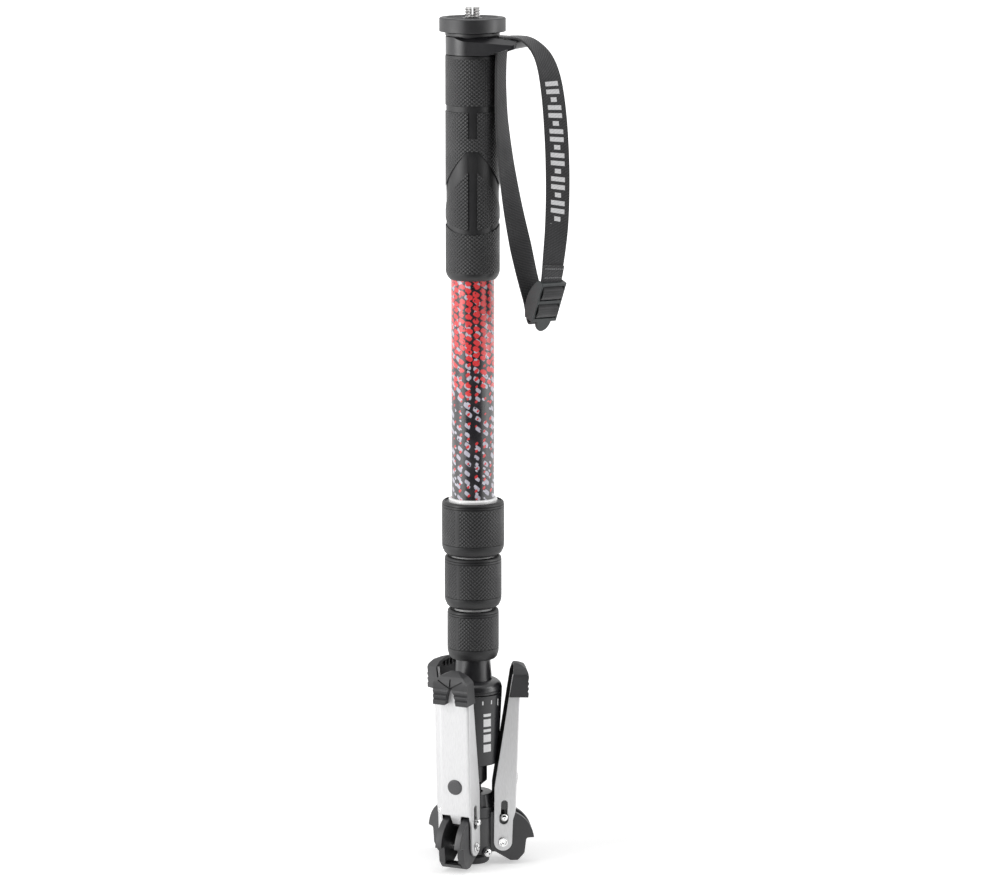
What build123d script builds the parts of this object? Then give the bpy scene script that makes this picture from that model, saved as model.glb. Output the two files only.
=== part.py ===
from build123d import *
import os
from bisect import bisect_left
from math import ceil, cos, degrees, radians, sin, sqrt, tan

os.makedirs("parts", exist_ok=True)

# Camera monopod with four telescoping tubes, a pan cartridge and a base with three folding legs.
# The origin is the foot of the camera screw, at the middle of the plate's top face, and Z is up.
# Heights are lengths taken down from there. Millimetres and degrees.

# Clearances, and the overrun of cuts
running_gap = 0.07
body_gap = 0.3
overrun = 2.0

# Camera plate, its pad and the screw
plate_radius = 20.05
plate_height = 8.4
plate_edge_radius = 1.3
pad_sink_radius = 15.6
pad_sink_depth = 1.2
pad_thickness = 0.9
screw_radius = 4.7625
screw_stand = 5.9
screw_chamfer = 0.6
screw_slot_width = 1.3
screw_slot_depth = 4.6
screw_foot_length = 16.0
screw_collar_radius = 6.2

# Head plug: the neck, the collar's seat and the tail in tube 1
neck_radius = 16.4
neck_height = 2.6
neck_edge = 0.5
collar_seat_radius = 14.0
plug_tail_length = 15.0

# Strap collar and its loop arm
collar_height = 10.6
collar_wall = 2.2
arm_azimuth = -25.0
arm_reach = 32.6
arm_root_half_width = 13.4
arm_end_half_width = 9.9
arm_end_height = 5.6
arm_end_drop = 0.8
arm_edge_radius = 1.2
arm_corner_radius = 2.6
strap_slot_half_width = 8.1
strap_slot_start = 18.0
arm_bar_length = 5.6

# Hand grip
grip_length = 136.0
grip_radius = 16.45
grip_end_inset = 2.6
grip_end_length = 5.8
grip_top_edge = 0.8
band_sink = 0.5
upper_band_top = 30.1
upper_band_height = 3.6
recess_width = 6.0
recess_height = 15.7
arch_peak = 57.3
arch_outer_drop = 18.5
arch_inner_drop = 3.6
arch_foot_height = 8.8
stripe_foot = 104.6
lower_band_top = 98.5
lower_band_height = 3.2
lower_band_dip = 6.1

# Telescoping tubes, from the outermost in, each with its travel out of the one before
tube_radii = [13.2, 11.5, 9.8, 8.1]
tube_wall = 1.1
tube_shown_length = 136.4
tube_head_step = 2.0
bush_length = 24.0
bush_lip = 1.4
dot_screw_drop = 3.9
dot_screw_radius = 1.0
dot_screw_stand = 0.35

# Twist locks, from the top down
lock_heights = [33.2, 31.8, 30.9]
lock_spaces = [1.1, 1.4]
lock_radii = [19.5, 17.9, 16.25]
lock_facet_turns = [15.0, 15.0, 8.0]
lock_facet_count = 4
lock_facet_sink = 0.4
sleeve_top_inset = 1.9
sleeve_bottom_insets = [3.4, 3.4, 2.5]
sleeve_bottom_length = 5.8
sleeve_lip = 1.7
ferrule_wall = 1.7
ferrule_stand = 1.8
ferrule_chamfer = 0.8
ferrule_length = 17.0
nut_wall = 2.1
nut_top_sink = 0.8
collet_length = 11.5
collet_taper = 1.0
collet_slit_width = 1.2
collet_slit_length = 7.5
collet_slit_count = 4

# Column sleeve, pan cap, cartridge housing and rotor
column_radius = 10.6
column_foot_radius = 11.6
column_length = 13.2
cap_radius = 17.75
cap_dome_height = 5.0
cap_rim_height = 2.6
cap_groove_depth = 0.4
cap_groove_height = 0.6
pan_gap = 0.5
housing_length = 44.6
housing_foot_radius = 15.35
housing_bore_radius = 12.3
housing_floor = 6.5
housing_edge_radius = 1.0
rotor_radius = 7.0
rotor_length = 30.0
rotor_flange_radius = 11.5
rotor_flange_height = 3.0

# Ball stem, ball seat and socket housing
spigot_radius = 5.0
spigot_length = 5.0
stem_radius = 8.5
stem_length = 11.5
stem_cone_length = 3.2
ball_neck_radius = 4.8
ball_neck_length = 4.3
ball_radius = 7.4
ball_mouth_radius = 6.1
ball_seat_wall = 1.6
seat_half_height = 5.0
socket_top_radius = 11.8
socket_ring_radius = 12.6
socket_ring_height = 7.9
socket_body_height = 6.8
socket_notch_count = 6
socket_notch_radius = 2.9
socket_notch_depth = 1.3
hub_radius = 13.2
seam_edge = 0.35

# Leg base, foot and fasteners
base_height = 22.6
cup_height = 3.4
foot_height = 7.4
foot_radius = 9.9
foot_neck_radius = 8.2
foot_neck_height = 1.5
foot_sole_edge = 1.9
foot_bolt_radius = 2.5
foot_bolt_head_radius = 4.25
foot_bolt_head_height = 2.6
foot_bolt_sink = 1.2
foot_bolt_length = 17.0
foot_bolt_socket_radius = 1.6
base_screw_azimuth = 38.0
base_screw_height = 8.5
base_screw_boss_radius = 3.2
base_screw_boss_reach = 14.3
base_screw_radius = 1.5
base_screw_length = 6.0
base_screw_head_radius = 2.65
base_screw_head_height = 2.2

# Forks of the leg base, out from the pivot and up from it
leg_azimuths = [-25.0, 95.0, 215.0]
pivot_reach = 17.6
pivot_height = 14.5
cheek_inner_half = 4.3
cheek_outer_half = 8.55
cheek_root = 9.0
cheek_top = 19.0
cheek_crown = 2.6
cam_radius = 19.6
cam_tip_angle = 6.0
latch_height = 16.0
latch_notch_half = 2.45
lock_step_reach = 14.7
lock_step_height = 1.8
lock_step_radius = 1.6
toe_reach = 13.5
toe_drop = 7.8
fork_sole_drop = 12.3
fork_sole_reach = 9.4
fork_heel_reach = 4.8
fork_root_reach = 4.7
fork_root_drop = 6.5
fork_bar_height = 3.1

# Legs, out from the pivot line and up along the leg
leg_splay = 2.0
leg_length = 106.0
leg_half_width = 10.25
leg_side_wall = 1.2
leg_web_wall = 1.5
leg_face = 7.4
leg_corner_radius = 2.2
ear_radius = 5.6
ear_shoulder = 14.0
web_foot = 20.6
wall_knee_height = 34.0
wall_knee_reach = 6.5
wall_end_reach = 2.2
tongue_half_width = 3.5
tongue_end_half_width = 2.1
tongue_length = 8.4
slot_top = 26.5
slot_half_width = 2.05
slot_foot_half_width = 2.8
slot_foot_bottom = 11.2
slot_foot_top = 18.8
plug_height = 39.0
plug_head_radius = 4.8
plug_stem_radius = 4.1
plug_head_height = 0.7
plug_edge_radius = 0.5
plug_inner_length = 1.6
pivot_radius = 2.5
pivot_head_radius = 3.0
pivot_head_height = 0.8
pivot_socket_radius = 1.5
pivot_socket_depth = 0.6
latch_radius = 1.85
latch_head_radius = 2.25
latch_head_height = 1.5
latch_inner_length = 0.3

# Pads at the leg tips
pad_rise = 5.9
pad_shoulder_drop = 4.4
pad_half_width = 11.5
pad_cover_length = 14.0
pad_inner_face = 1.2
pad_inner_top_face = 3.4
pad_tread_face = 12.5
pad_crown_face = 10.2
pad_crown_height = 2.6
pad_pocket_rim = 1.3
pad_pocket_depth = 2.6
pad_rib_width = 0.9
pad_notch_half_width = 3.7
pad_notch_height = 12.0
pad_groove_width = 0.8
pad_groove_depth = 0.8
pad_tread_pitch = 3.1
pad_tread_count = 3
pad_fan_angle = 28.0
pad_fan_length = 8.6

# Wrist strap: the route of the webbing's middle, from over the arm's bar, down the right side,
# round the buckle's foot and up beside the grip, with the azimuth of its width at each point
strap_width = 15.0
strap_thickness = 1.3
strap_bend_share = 0.45
strap_step_length = 12.0
strap_step_turn = 15.0
strap_route = [
    (20.4, -9.5, -11.3),
    (25.4, -11.8, -10.9),
    (31.4, -14.6, -11.4),
    (38.2, -16.2, -16.4),
    (43.8, -16.8, -25.0),
    (47.4, -16.6, -39.0),
    (49.9, -16.0, -62.0),
    (51.3, -15.4, -92.0),
    (50.9, -15.6, -122.0),
    (48.9, -16.0, -143.0),
    (47.3, -15.6, -156.5),
    (45.2, -13.6, -167.0),
    (43.4, -11.7, -176.5),
    (41.4, -9.4, -183.6),
    (38.9, -6.4, -184.3),
    (37.8, -5.4, -177.6),
    (36.6, -6.2, -169.6),
    (33.4, -8.0, -158.0),
    (29.0, -9.6, -138.0),
    (23.9, -10.2, -113.0),
    (19.9, -9.3, -86.0),
    (17.2, -8.1, -60.0),
    (16.8, -7.9, -40.0),
    (17.0, -7.9, -27.0),
    (17.6, -8.2, -18.5),
    (19.0, -8.9, -13.2),
]
strap_turns = [
    65, 65, 62, 55, 42, 28, 18, 15, 18, 28, 38, 38, 38,
    38, 38, 38, 38, 36, 30, 42, 54, 62, 66, 66, 65, 65,
]

# Ladder buckle on the strap
buckle_place = (45.8, -14.5, -170.5)
buckle_turn = 38.0
buckle_lean = 11.0
buckle_length = 26.0
buckle_width = 19.0
buckle_window_width = 15.6
buckle_bar = 2.6
buckle_bar_depth = 2.2
buckle_face = 0.9
buckle_top_depth = 5.0
buckle_belly_depth = 10.5
buckle_foot_depth = 7.5
buckle_tongue_length = 7.0
buckle_tongue_width = 11.0
buckle_tongue_thickness = 2.0

# Heights worked out from the lengths above
plate_bottom = -plate_height
neck_bottom = plate_bottom - neck_height
collar_top = neck_bottom - body_gap
collar_bottom = collar_top - collar_height
grip_top = collar_bottom - body_gap
grip_bottom = grip_top - grip_length
lock_tops = [grip_bottom - tube_shown_length]
for height, space in zip(lock_heights, lock_spaces):
    lock_tops.append(lock_tops[-1] - height - space)
lock_bottoms = [top - height for top, height in zip(lock_tops, lock_heights)]
ferrule_stands = [ferrule_stand] + [space - body_gap for space in lock_spaces]
ferrule_tops = [top + stand for top, stand in zip(lock_tops, ferrule_stands)]
tube_ends = [top - ferrule_length for top in ferrule_tops]
column_top = lock_bottoms[-1] - body_gap
cap_top = column_top - column_length
tube_ends.append(cap_top + tube_head_step)
cap_shoulder = cap_top - cap_dome_height
cap_bottom = cap_shoulder - cap_rim_height
housing_top = cap_bottom - pan_gap
housing_bottom = housing_top - housing_length
stem_bottom = housing_bottom - stem_length
cone_bottom = stem_bottom - stem_cone_length
ball_centre = cone_bottom - ball_neck_length - sqrt(ball_radius**2 - ball_neck_radius**2)
socket_top = cone_bottom - ball_neck_length
ring_bottom = socket_top - socket_ring_height
base_top = ring_bottom - socket_body_height
base_bottom = base_top - base_height
sole = base_bottom - foot_height
pivot_level = sole + pivot_height
pad_top = leg_length + pad_rise
pad_bottom = leg_length - pad_cover_length

# Radii worked out the same way
seat_inner_radius = ball_radius + running_gap
seat_outer_radius = seat_inner_radius + ball_seat_wall
socket_bore_radius = seat_outer_radius + running_gap
latch_tilt = radians(leg_splay)


# A closed outline of points, as a face on the given plane
def outline(points, plane=Plane.XZ):
    with BuildSketch(plane) as face:
        with BuildLine():
            Polyline(*points, close=True)
        make_face()
    return face.sketch


# The half section of a plain ring, to revolve about Z
def ring_section(inner, outer, top, bottom):
    return outline([(inner, bottom), (outer, bottom), (outer, top), (inner, top)])


# A plane across a leg's width: X points out from the pivot and Y up along the leg
def side_plane(azimuth, splay=0.0):
    turn = radians(azimuth)
    tilt = radians(splay)
    out = Vector(sin(turn), -cos(turn), 0)
    across = Vector(cos(turn), sin(turn), 0)
    pivot = out * pivot_reach + Vector(0, 0, pivot_level)
    return Plane(origin=pivot, x_dir=out * cos(tilt) - Vector(0, 0, sin(tilt)), z_dir=-across)


# A plane facing out of a leg: X runs across it and Y up along it
def front_plane(azimuth, splay=0.0, reach=0.0):
    side = side_plane(azimuth, splay)
    return Plane(origin=side.origin + side.x_dir * reach, x_dir=-side.z_dir, z_dir=side.x_dir)


# Camera screw, slotted across, on a collar that comes up to the pad's face
screw_seat = pad_thickness - pad_sink_depth
with BuildPart() as camera_screw:
    revolve(ring_section(0, screw_radius, screw_stand, screw_seat))
    chamfer(camera_screw.edges().group_by(Axis.Z)[-1], screw_chamfer)
    revolve(ring_section(0, screw_collar_radius, screw_seat, screw_stand - screw_foot_length))
    with BuildSketch(Plane.XY.offset(screw_stand)):
        Rectangle(screw_slot_width, 2 * screw_radius + overrun)
    extrude(amount=-screw_slot_depth, mode=Mode.SUBTRACT)
camera_screw.part.label = "camera_screw"
export_step(camera_screw.part, "parts/camera_screw.step")

# Camera plate, a rounded disc sunk in the middle
with BuildPart() as camera_plate:
    revolve(ring_section(screw_collar_radius, plate_radius, 0, plate_bottom))
    fillet(camera_plate.edges().filter_by(GeomType.CIRCLE).sort_by(SortBy.RADIUS)[-2:], plate_edge_radius)
    with BuildSketch(Plane.XY):
        Circle(pad_sink_radius)
    extrude(amount=-pad_sink_depth, mode=Mode.SUBTRACT)
camera_plate.part.label = "camera_plate"
export_step(camera_plate.part, "parts/camera_plate.step")

# Rubber pad in the plate
with BuildPart() as plate_pad:
    pad_bore = screw_collar_radius + running_gap
    revolve(ring_section(pad_bore, pad_sink_radius - running_gap, screw_seat, -pad_sink_depth))
plate_pad.part.label = "plate_pad"
export_step(plate_pad.part, "parts/plate_pad.step")

# Head plug: neck, collar seat and tail, bored for the screw
with BuildPart() as head_plug:
    plug_radius = tube_radii[0] - tube_wall - running_gap
    plug_tail = grip_top - plug_tail_length
    plug_points = [
        (0, plate_bottom),
        (neck_radius, plate_bottom),
        (neck_radius, neck_bottom + neck_edge),
        (neck_radius - neck_edge, neck_bottom),
        (collar_seat_radius, neck_bottom),
        (collar_seat_radius, grip_top),
        (plug_radius, grip_top),
        (plug_radius, plug_tail),
        (0, plug_tail),
    ]
    revolve(outline(plug_points))
    with BuildSketch(Plane.XY.offset(screw_stand - screw_foot_length)):
        Circle(screw_collar_radius)
    extrude(amount=screw_foot_length, mode=Mode.SUBTRACT)
head_plug.part.label = "head_plug"
export_step(head_plug.part, "parts/head_plug.step")

# Strap collar: a ring with a loop arm that tapers to its bar
arm_line = Plane(origin=(0, 0, 0), x_dir=Vector(1, 0, 0).rotate(Axis.Z, arm_azimuth), z_dir=(0, 0, 1))
arm_side = Plane(origin=(0, 0, 0), x_dir=arm_line.x_dir, z_dir=-arm_line.y_dir)
collar_bore = collar_seat_radius + running_gap
collar_radius = collar_bore + collar_wall
with BuildPart() as strap_collar:
    with BuildSketch(arm_line.offset(collar_bottom)) as arm_plan:
        with BuildLine():
            Polyline(
                (0, -arm_root_half_width),
                (strap_slot_start, -arm_root_half_width),
                (arm_reach, -arm_end_half_width),
                (arm_reach, arm_end_half_width),
                (strap_slot_start, arm_root_half_width),
                (0, arm_root_half_width),
                close=True,
            )
        make_face()
        fillet(arm_plan.vertices().group_by(Axis(arm_line.origin, arm_line.x_dir))[-1], arm_corner_radius)
    extrude(amount=collar_height)
    arm_end_top = collar_top - arm_end_drop
    with BuildSketch(arm_side):
        with BuildLine():
            FilletPolyline(
                (0, collar_top),
                (collar_radius, collar_top),
                (arm_reach, arm_end_top),
                (arm_reach, arm_end_top - arm_end_height),
                (arm_reach - arm_bar_length, arm_end_top - arm_end_height),
                (collar_radius, collar_bottom),
                (0, collar_bottom),
                radius=[0, arm_edge_radius, arm_edge_radius, 0, 0],
            )
            Line((0, collar_bottom), (0, collar_top))
        make_face()
    extrude(amount=2 * arm_reach, both=True, mode=Mode.INTERSECT)
    revolve(ring_section(0, collar_radius, collar_top, collar_bottom))
    with BuildSketch(arm_line.offset(collar_bottom)):
        Circle(collar_bore)
        slot_length = arm_reach - arm_bar_length - strap_slot_start
        with Locations((strap_slot_start, 0)):
            Rectangle(slot_length, 2 * strap_slot_half_width, align=(Align.MIN, Align.CENTER))
    extrude(amount=collar_height, mode=Mode.SUBTRACT)
strap_collar.part.label = "strap_collar"
export_step(strap_collar.part, "parts/strap_collar.step")

# Bands sunk in the grip: the recess, the arch, the stripe and the lower band, as one cutter
with BuildPart() as grip_bands:
    upper_band_foot = grip_top - upper_band_top - upper_band_height
    arch_top = grip_top - arch_peak
    arch_fall = arch_outer_drop / grip_radius
    band_reach = grip_radius + overrun
    lower_top = grip_top - lower_band_top
    dip = lower_band_dip * band_reach / grip_radius
    with BuildSketch(Plane.XZ):
        with Locations((0, upper_band_foot)):
            Rectangle(recess_width, recess_height, align=(Align.CENTER, Align.MAX))
        with BuildLine():
            Polyline(
                (0, arch_top),
                (band_reach, arch_top - arch_fall * band_reach),
                (band_reach, arch_top - arch_fall * band_reach - arch_foot_height),
                (0, arch_top - arch_inner_drop),
                (-band_reach, arch_top - arch_fall * band_reach - arch_foot_height),
                (-band_reach, arch_top - arch_fall * band_reach),
                close=True,
            )
        make_face()
        with Locations((0, arch_top - arch_inner_drop)):
            stripe_length = stripe_foot - arch_peak - arch_inner_drop
            Rectangle(recess_width, stripe_length, align=(Align.CENTER, Align.MAX))
        with BuildLine():
            low = lower_top - lower_band_height
            ThreePointArc((-band_reach, lower_top), (0, lower_top - dip), (band_reach, lower_top))
            Line((band_reach, lower_top), (band_reach, low))
            ThreePointArc((band_reach, low), (0, low - dip), (-band_reach, low))
            Line((-band_reach, low), (-band_reach, lower_top))
        make_face()
    extrude(amount=band_reach, both=True)
    with BuildSketch(Plane.XY.offset(grip_bottom)):
        Circle(grip_radius - band_sink)
    extrude(amount=grip_length, mode=Mode.SUBTRACT)

# Hand grip, rounded in at its foot
with BuildPart() as hand_grip:
    grip_bore = tube_radii[0]
    grip_shoulder = grip_bottom + grip_end_length
    band_top = grip_top - upper_band_top
    band_radius = grip_radius - band_sink
    with BuildSketch(Plane.XZ):
        with BuildLine():
            Polyline(
                (grip_radius, grip_shoulder),
                (grip_radius, upper_band_foot),
                (band_radius, upper_band_foot),
                (band_radius, band_top),
                (grip_radius, band_top),
                (grip_radius, grip_top - grip_top_edge),
                (grip_radius - grip_top_edge, grip_top),
                (grip_bore, grip_top),
                (grip_bore, grip_bottom),
                (grip_radius - grip_end_inset, grip_bottom),
            )
            TangentArc((grip_radius, grip_shoulder), (grip_radius - grip_end_inset, grip_bottom), tangent=(0, -1))
        make_face()
    revolve()
    add(grip_bands.part, mode=Mode.SUBTRACT)
hand_grip.part.label = "hand_grip"
export_step(hand_grip.part, "parts/hand_grip.step")

# The four tubes, the three inner ones each with a guide bush at its head
tube_heads = [grip_top] + [plug_tail - tube_head_step * number for number in (1, 2, 3)]
for number, (radius, head, end) in enumerate(zip(tube_radii, tube_heads, tube_ends), 1):
    with BuildPart() as tube:
        revolve(ring_section(radius - tube_wall, radius, head, end))
        if number == 1:
            dot_level = grip_bottom - dot_screw_drop
            with BuildSketch(Plane.XZ.offset(radius - tube_wall)):
                with Locations((0, dot_level)):
                    Circle(dot_screw_radius)
            extrude(amount=tube_wall + dot_screw_stand)
    tube.part.label = f"tube_{number}"
    export_step(tube.part, f"parts/tube_{number}.step")
    if number > 1:
        bore = tube_radii[number - 2] - tube_wall
        with BuildPart() as bush:
            bush_points = [
                (radius - tube_wall, head),
                (radius, head),
                (radius, head - bush_length),
                (bore - running_gap, head - bush_length),
                (bore - running_gap, head + bush_lip),
                (radius - tube_wall, head + bush_lip),
            ]
            revolve(outline(bush_points))
        bush.part.label = f"tube_{number}_bush"
        export_step(bush.part, f"parts/tube_{number}_bush.step")

# Twist locks: ferrule ring on the carrying tube, nut and rubber sleeve round it, split collet inside
for number in range(3):
    name = f"lock_{number + 1}"
    carrier = tube_radii[number]
    runner = tube_radii[number + 1]
    top = lock_tops[number]
    bottom = lock_bottoms[number]
    ferrule_top = ferrule_tops[number]
    ferrule_foot = tube_ends[number]
    ferrule_radius = carrier + ferrule_wall
    thread_radius = ferrule_radius + running_gap
    nut_radius = thread_radius + nut_wall
    sleeve_radius = lock_radii[number]
    sleeve_foot_radius = sleeve_radius - sleeve_bottom_insets[number]
    throat_radius = runner + body_gap
    shoulder = bottom + sleeve_bottom_length
    nut_foot_radius = sleeve_foot_radius - sleeve_lip
    collet_foot = ferrule_foot - collet_length
    collet_radius = ferrule_radius - body_gap

    with BuildPart() as ring:
        ring_points = [
            (carrier, ferrule_foot),
            (ferrule_radius, ferrule_foot),
            (ferrule_radius, ferrule_top - ferrule_chamfer / 2),
            (ferrule_radius - ferrule_chamfer, ferrule_top),
            (carrier, ferrule_top),
        ]
        revolve(outline(ring_points))
    ring.part.label = f"{name}_ring"
    export_step(ring.part, f"parts/{name}_ring.step")

    with BuildPart() as collet:
        collet_points = [
            (runner + running_gap, ferrule_foot),
            (collet_radius, ferrule_foot),
            (collet_radius - collet_taper, collet_foot),
            (runner + running_gap, collet_foot),
        ]
        revolve(outline(collet_points))
        with BuildSketch(Plane.XY.offset(collet_foot)):
            with PolarLocations(0, collet_slit_count // 2, angular_range=180):
                Rectangle(2 * ferrule_radius, collet_slit_width)
        extrude(amount=collet_slit_length, mode=Mode.SUBTRACT)
    collet.part.label = f"{name}_collet"
    export_step(collet.part, f"parts/{name}_collet.step")

    with BuildPart() as nut:
        nut_points = [
            (thread_radius, top - nut_top_sink),
            (nut_radius, top - nut_top_sink),
            (nut_radius, shoulder),
            (nut_foot_radius, bottom),
            (throat_radius, bottom),
            (throat_radius, collet_foot - body_gap),
            (thread_radius - collet_taper, collet_foot - body_gap),
            (thread_radius, ferrule_foot),
        ]
        revolve(outline(nut_points))
    nut.part.label = f"{name}_nut"
    export_step(nut.part, f"parts/{name}_nut.step")

    with BuildPart() as sleeve:
        with BuildSketch(Plane.XZ):
            with BuildLine():
                Polyline(
                    (sleeve_radius, shoulder),
                    (sleeve_radius, top - sleeve_top_inset),
                )
                RadiusArc(
                    (sleeve_radius, top - sleeve_top_inset),
                    (sleeve_radius - sleeve_top_inset, top),
                    -sleeve_top_inset,
                )
                Polyline(
                    (sleeve_radius - sleeve_top_inset, top),
                    (nut_radius, top),
                    (nut_radius, shoulder),
                    (nut_foot_radius, bottom),
                    (sleeve_foot_radius, bottom),
                )
                TangentArc((sleeve_radius, shoulder), (sleeve_foot_radius, bottom), tangent=(0, -1))
            make_face()
        revolve()
        half_facet = radians(360 / lock_facet_count / 2)
        facet_swell = (2 * sleeve_radius - lock_facet_sink) * lock_facet_sink
        facet_shift = facet_swell / (2 * sleeve_radius * (1 - cos(half_facet)) - 2 * lock_facet_sink)
        facet_radius = sleeve_radius - lock_facet_sink + facet_shift
        for facet in range(lock_facet_count):
            facet_turn = lock_facet_turns[number] + facet * 360 / lock_facet_count
            facet_axis = Plane.XY.offset(bottom).rotated((0, 0, facet_turn))
            with BuildSketch(facet_axis):
                with Locations((-facet_shift, 0)):
                    Circle(facet_radius)
            extrude(amount=lock_heights[number], mode=Mode.INTERSECT)
    sleeve.part.label = f"{name}_sleeve"
    export_step(sleeve.part, f"parts/{name}_sleeve.step")

# Column sleeve at the foot of tube 4
with BuildPart() as column_sleeve:
    column_points = [
        (tube_radii[3], column_top),
        (column_radius, column_top),
        (column_foot_radius, cap_top),
        (0, cap_top),
        (0, tube_ends[3]),
        (tube_radii[3], tube_ends[3]),
    ]
    revolve(outline(column_points))
column_sleeve.part.label = "column_sleeve"
export_step(column_sleeve.part, "parts/column_sleeve.step")

# Domed cap of the pan cartridge, with a groove round its rim
with BuildPart() as cartridge_cap:
    groove_top = cap_shoulder - cap_groove_height
    groove_bottom = groove_top - cap_groove_height
    with BuildSketch(Plane.XZ):
        with BuildLine():
            Line((0, cap_top), (column_foot_radius, cap_top))
            ThreePointArc(
                (column_foot_radius, cap_top),
                ((column_foot_radius + 2 * cap_radius) / 3, cap_top - cap_dome_height / 3),
                (cap_radius, cap_shoulder),
            )
            Polyline(
                (cap_radius, cap_shoulder),
                (cap_radius, groove_top),
                (cap_radius - cap_groove_depth, groove_top),
                (cap_radius - cap_groove_depth, groove_bottom),
                (cap_radius, groove_bottom),
                (cap_radius, cap_bottom),
                (0, cap_bottom),
                (0, cap_top),
            )
        make_face()
    revolve()
cartridge_cap.part.label = "cartridge_cap"
export_step(cartridge_cap.part, "parts/cartridge_cap.step")

# Rotor under the cap, flanged at its foot
rotor_foot = cap_bottom - rotor_length
flange_top = rotor_foot + rotor_flange_height
with BuildPart() as cartridge_rotor:
    rotor_points = [
        (0, cap_bottom),
        (rotor_radius, cap_bottom),
        (rotor_radius, flange_top),
        (rotor_flange_radius, flange_top),
        (rotor_flange_radius, rotor_foot),
        (0, rotor_foot),
    ]
    revolve(outline(rotor_points))
cartridge_rotor.part.label = "cartridge_rotor"
export_step(cartridge_rotor.part, "parts/cartridge_rotor.step")

# Bush between the rotor and the housing
with BuildPart() as cartridge_bush:
    revolve(ring_section(rotor_radius + running_gap, housing_bore_radius, housing_top, flange_top + body_gap))
cartridge_bush.part.label = "cartridge_bush"
export_step(cartridge_bush.part, "parts/cartridge_bush.step")

# Cartridge housing, tapering down, with a threaded hole in its floor
with BuildPart() as cartridge_housing:
    floor_level = housing_bottom + housing_floor
    housing_points = [
        (spigot_radius, housing_bottom),
        (housing_foot_radius, housing_bottom),
        (cap_radius, housing_top),
        (housing_bore_radius, housing_top),
        (housing_bore_radius, floor_level),
        (spigot_radius, floor_level),
    ]
    revolve(outline(housing_points))
    fillet(cartridge_housing.edges().filter_by(GeomType.CIRCLE).group_by(Axis.Z)[0][-1:], housing_edge_radius)
cartridge_housing.part.label = "cartridge_housing"
export_step(cartridge_housing.part, "parts/cartridge_housing.step")

# Ball stem: spigot, stem, cone, neck and ball
with BuildPart() as ball_stem:
    stem_points = [
        (0, housing_bottom + spigot_length),
        (spigot_radius, housing_bottom + spigot_length),
        (spigot_radius, housing_bottom),
        (stem_radius, housing_bottom),
        (stem_radius, stem_bottom),
        (ball_neck_radius, cone_bottom),
        (ball_neck_radius, ball_centre),
        (0, ball_centre),
    ]
    revolve(outline(stem_points))
    with Locations((0, 0, ball_centre)):
        Sphere(ball_radius)
ball_stem.part.label = "ball_stem"
export_step(ball_stem.part, "parts/ball_stem.step")

# Ball seat, a shell between the ball and the housing
with BuildPart() as ball_seat:
    with Locations((0, 0, ball_centre)):
        Sphere(seat_outer_radius)
        Box(2 * hub_radius, 2 * hub_radius, 2 * seat_half_height, mode=Mode.INTERSECT)
        Sphere(seat_inner_radius, mode=Mode.SUBTRACT)
ball_seat.part.label = "ball_seat"
export_step(ball_seat.part, "parts/ball_seat.step")

# Socket housing: a notched ring over a plain body, hollow for the seat
with BuildPart() as socket_housing:
    socket_points = [
        (ball_mouth_radius, socket_top),
        (socket_top_radius, socket_top),
        (socket_ring_radius, ring_bottom),
        (hub_radius - seam_edge, ring_bottom),
        (hub_radius, ring_bottom - seam_edge),
        (hub_radius, base_top + seam_edge),
        (hub_radius - seam_edge, base_top),
        (0, base_top),
        (0, ball_centre),
        (ball_mouth_radius, ball_centre),
    ]
    revolve(outline(socket_points))
    with Locations((0, 0, ball_centre)):
        Sphere(socket_bore_radius, mode=Mode.SUBTRACT)
    with BuildSketch(Plane.XY.offset(ball_centre)):
        Circle(socket_bore_radius)
    extrude(amount=base_top - ball_centre, mode=Mode.SUBTRACT)
    notch_reach = socket_ring_radius + socket_notch_radius - socket_notch_depth
    with BuildSketch(Plane.XY.offset(ring_bottom)):
        with PolarLocations(notch_reach, socket_notch_count):
            Circle(socket_notch_radius)
    extrude(amount=socket_ring_height, mode=Mode.SUBTRACT)
socket_housing.part.label = "socket_housing"
export_step(socket_housing.part, "parts/socket_housing.step")

# The outline of a fork cheek: latch notch, cam arc, lock step, toe, sole and root
def cheek_outline(plane):
    notch_out = latch_height * sin(latch_tilt)
    notch_up = latch_height * cos(latch_tilt)
    crown_height = sqrt(cam_radius**2 - cheek_crown**2)
    tip = (cam_radius * cos(radians(cam_tip_angle)), cam_radius * sin(radians(cam_tip_angle)))
    middle = radians((90 + cam_tip_angle) / 2)
    with BuildSketch(plane) as cheek:
        with BuildLine():
            ThreePointArc(
                (cheek_crown, crown_height),
                (cam_radius * cos(middle), cam_radius * sin(middle)),
                tip,
            )
            FilletPolyline(
                tip,
                (lock_step_reach, lock_step_height),
                (toe_reach, -toe_drop),
                (fork_sole_reach, -fork_sole_drop),
                (fork_heel_reach, -fork_sole_drop),
                (-fork_root_reach, -fork_root_drop),
                (-cheek_root, -fork_root_drop),
                radius=[lock_step_radius, lock_step_radius, lock_step_radius, lock_step_radius, 0],
            )
            Polyline(
                (-cheek_root, -fork_root_drop),
                (-cheek_root, cheek_top),
                (notch_out, cheek_top),
                (cheek_crown, crown_height),
            )
        make_face()
        with Locations((notch_out, notch_up)):
            Circle(latch_notch_half, mode=Mode.SUBTRACT)
            Rectangle(
                2 * latch_notch_half,
                cam_radius,
                align=(Align.CENTER, Align.MIN),
                mode=Mode.SUBTRACT,
            )
    return cheek.sketch


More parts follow.
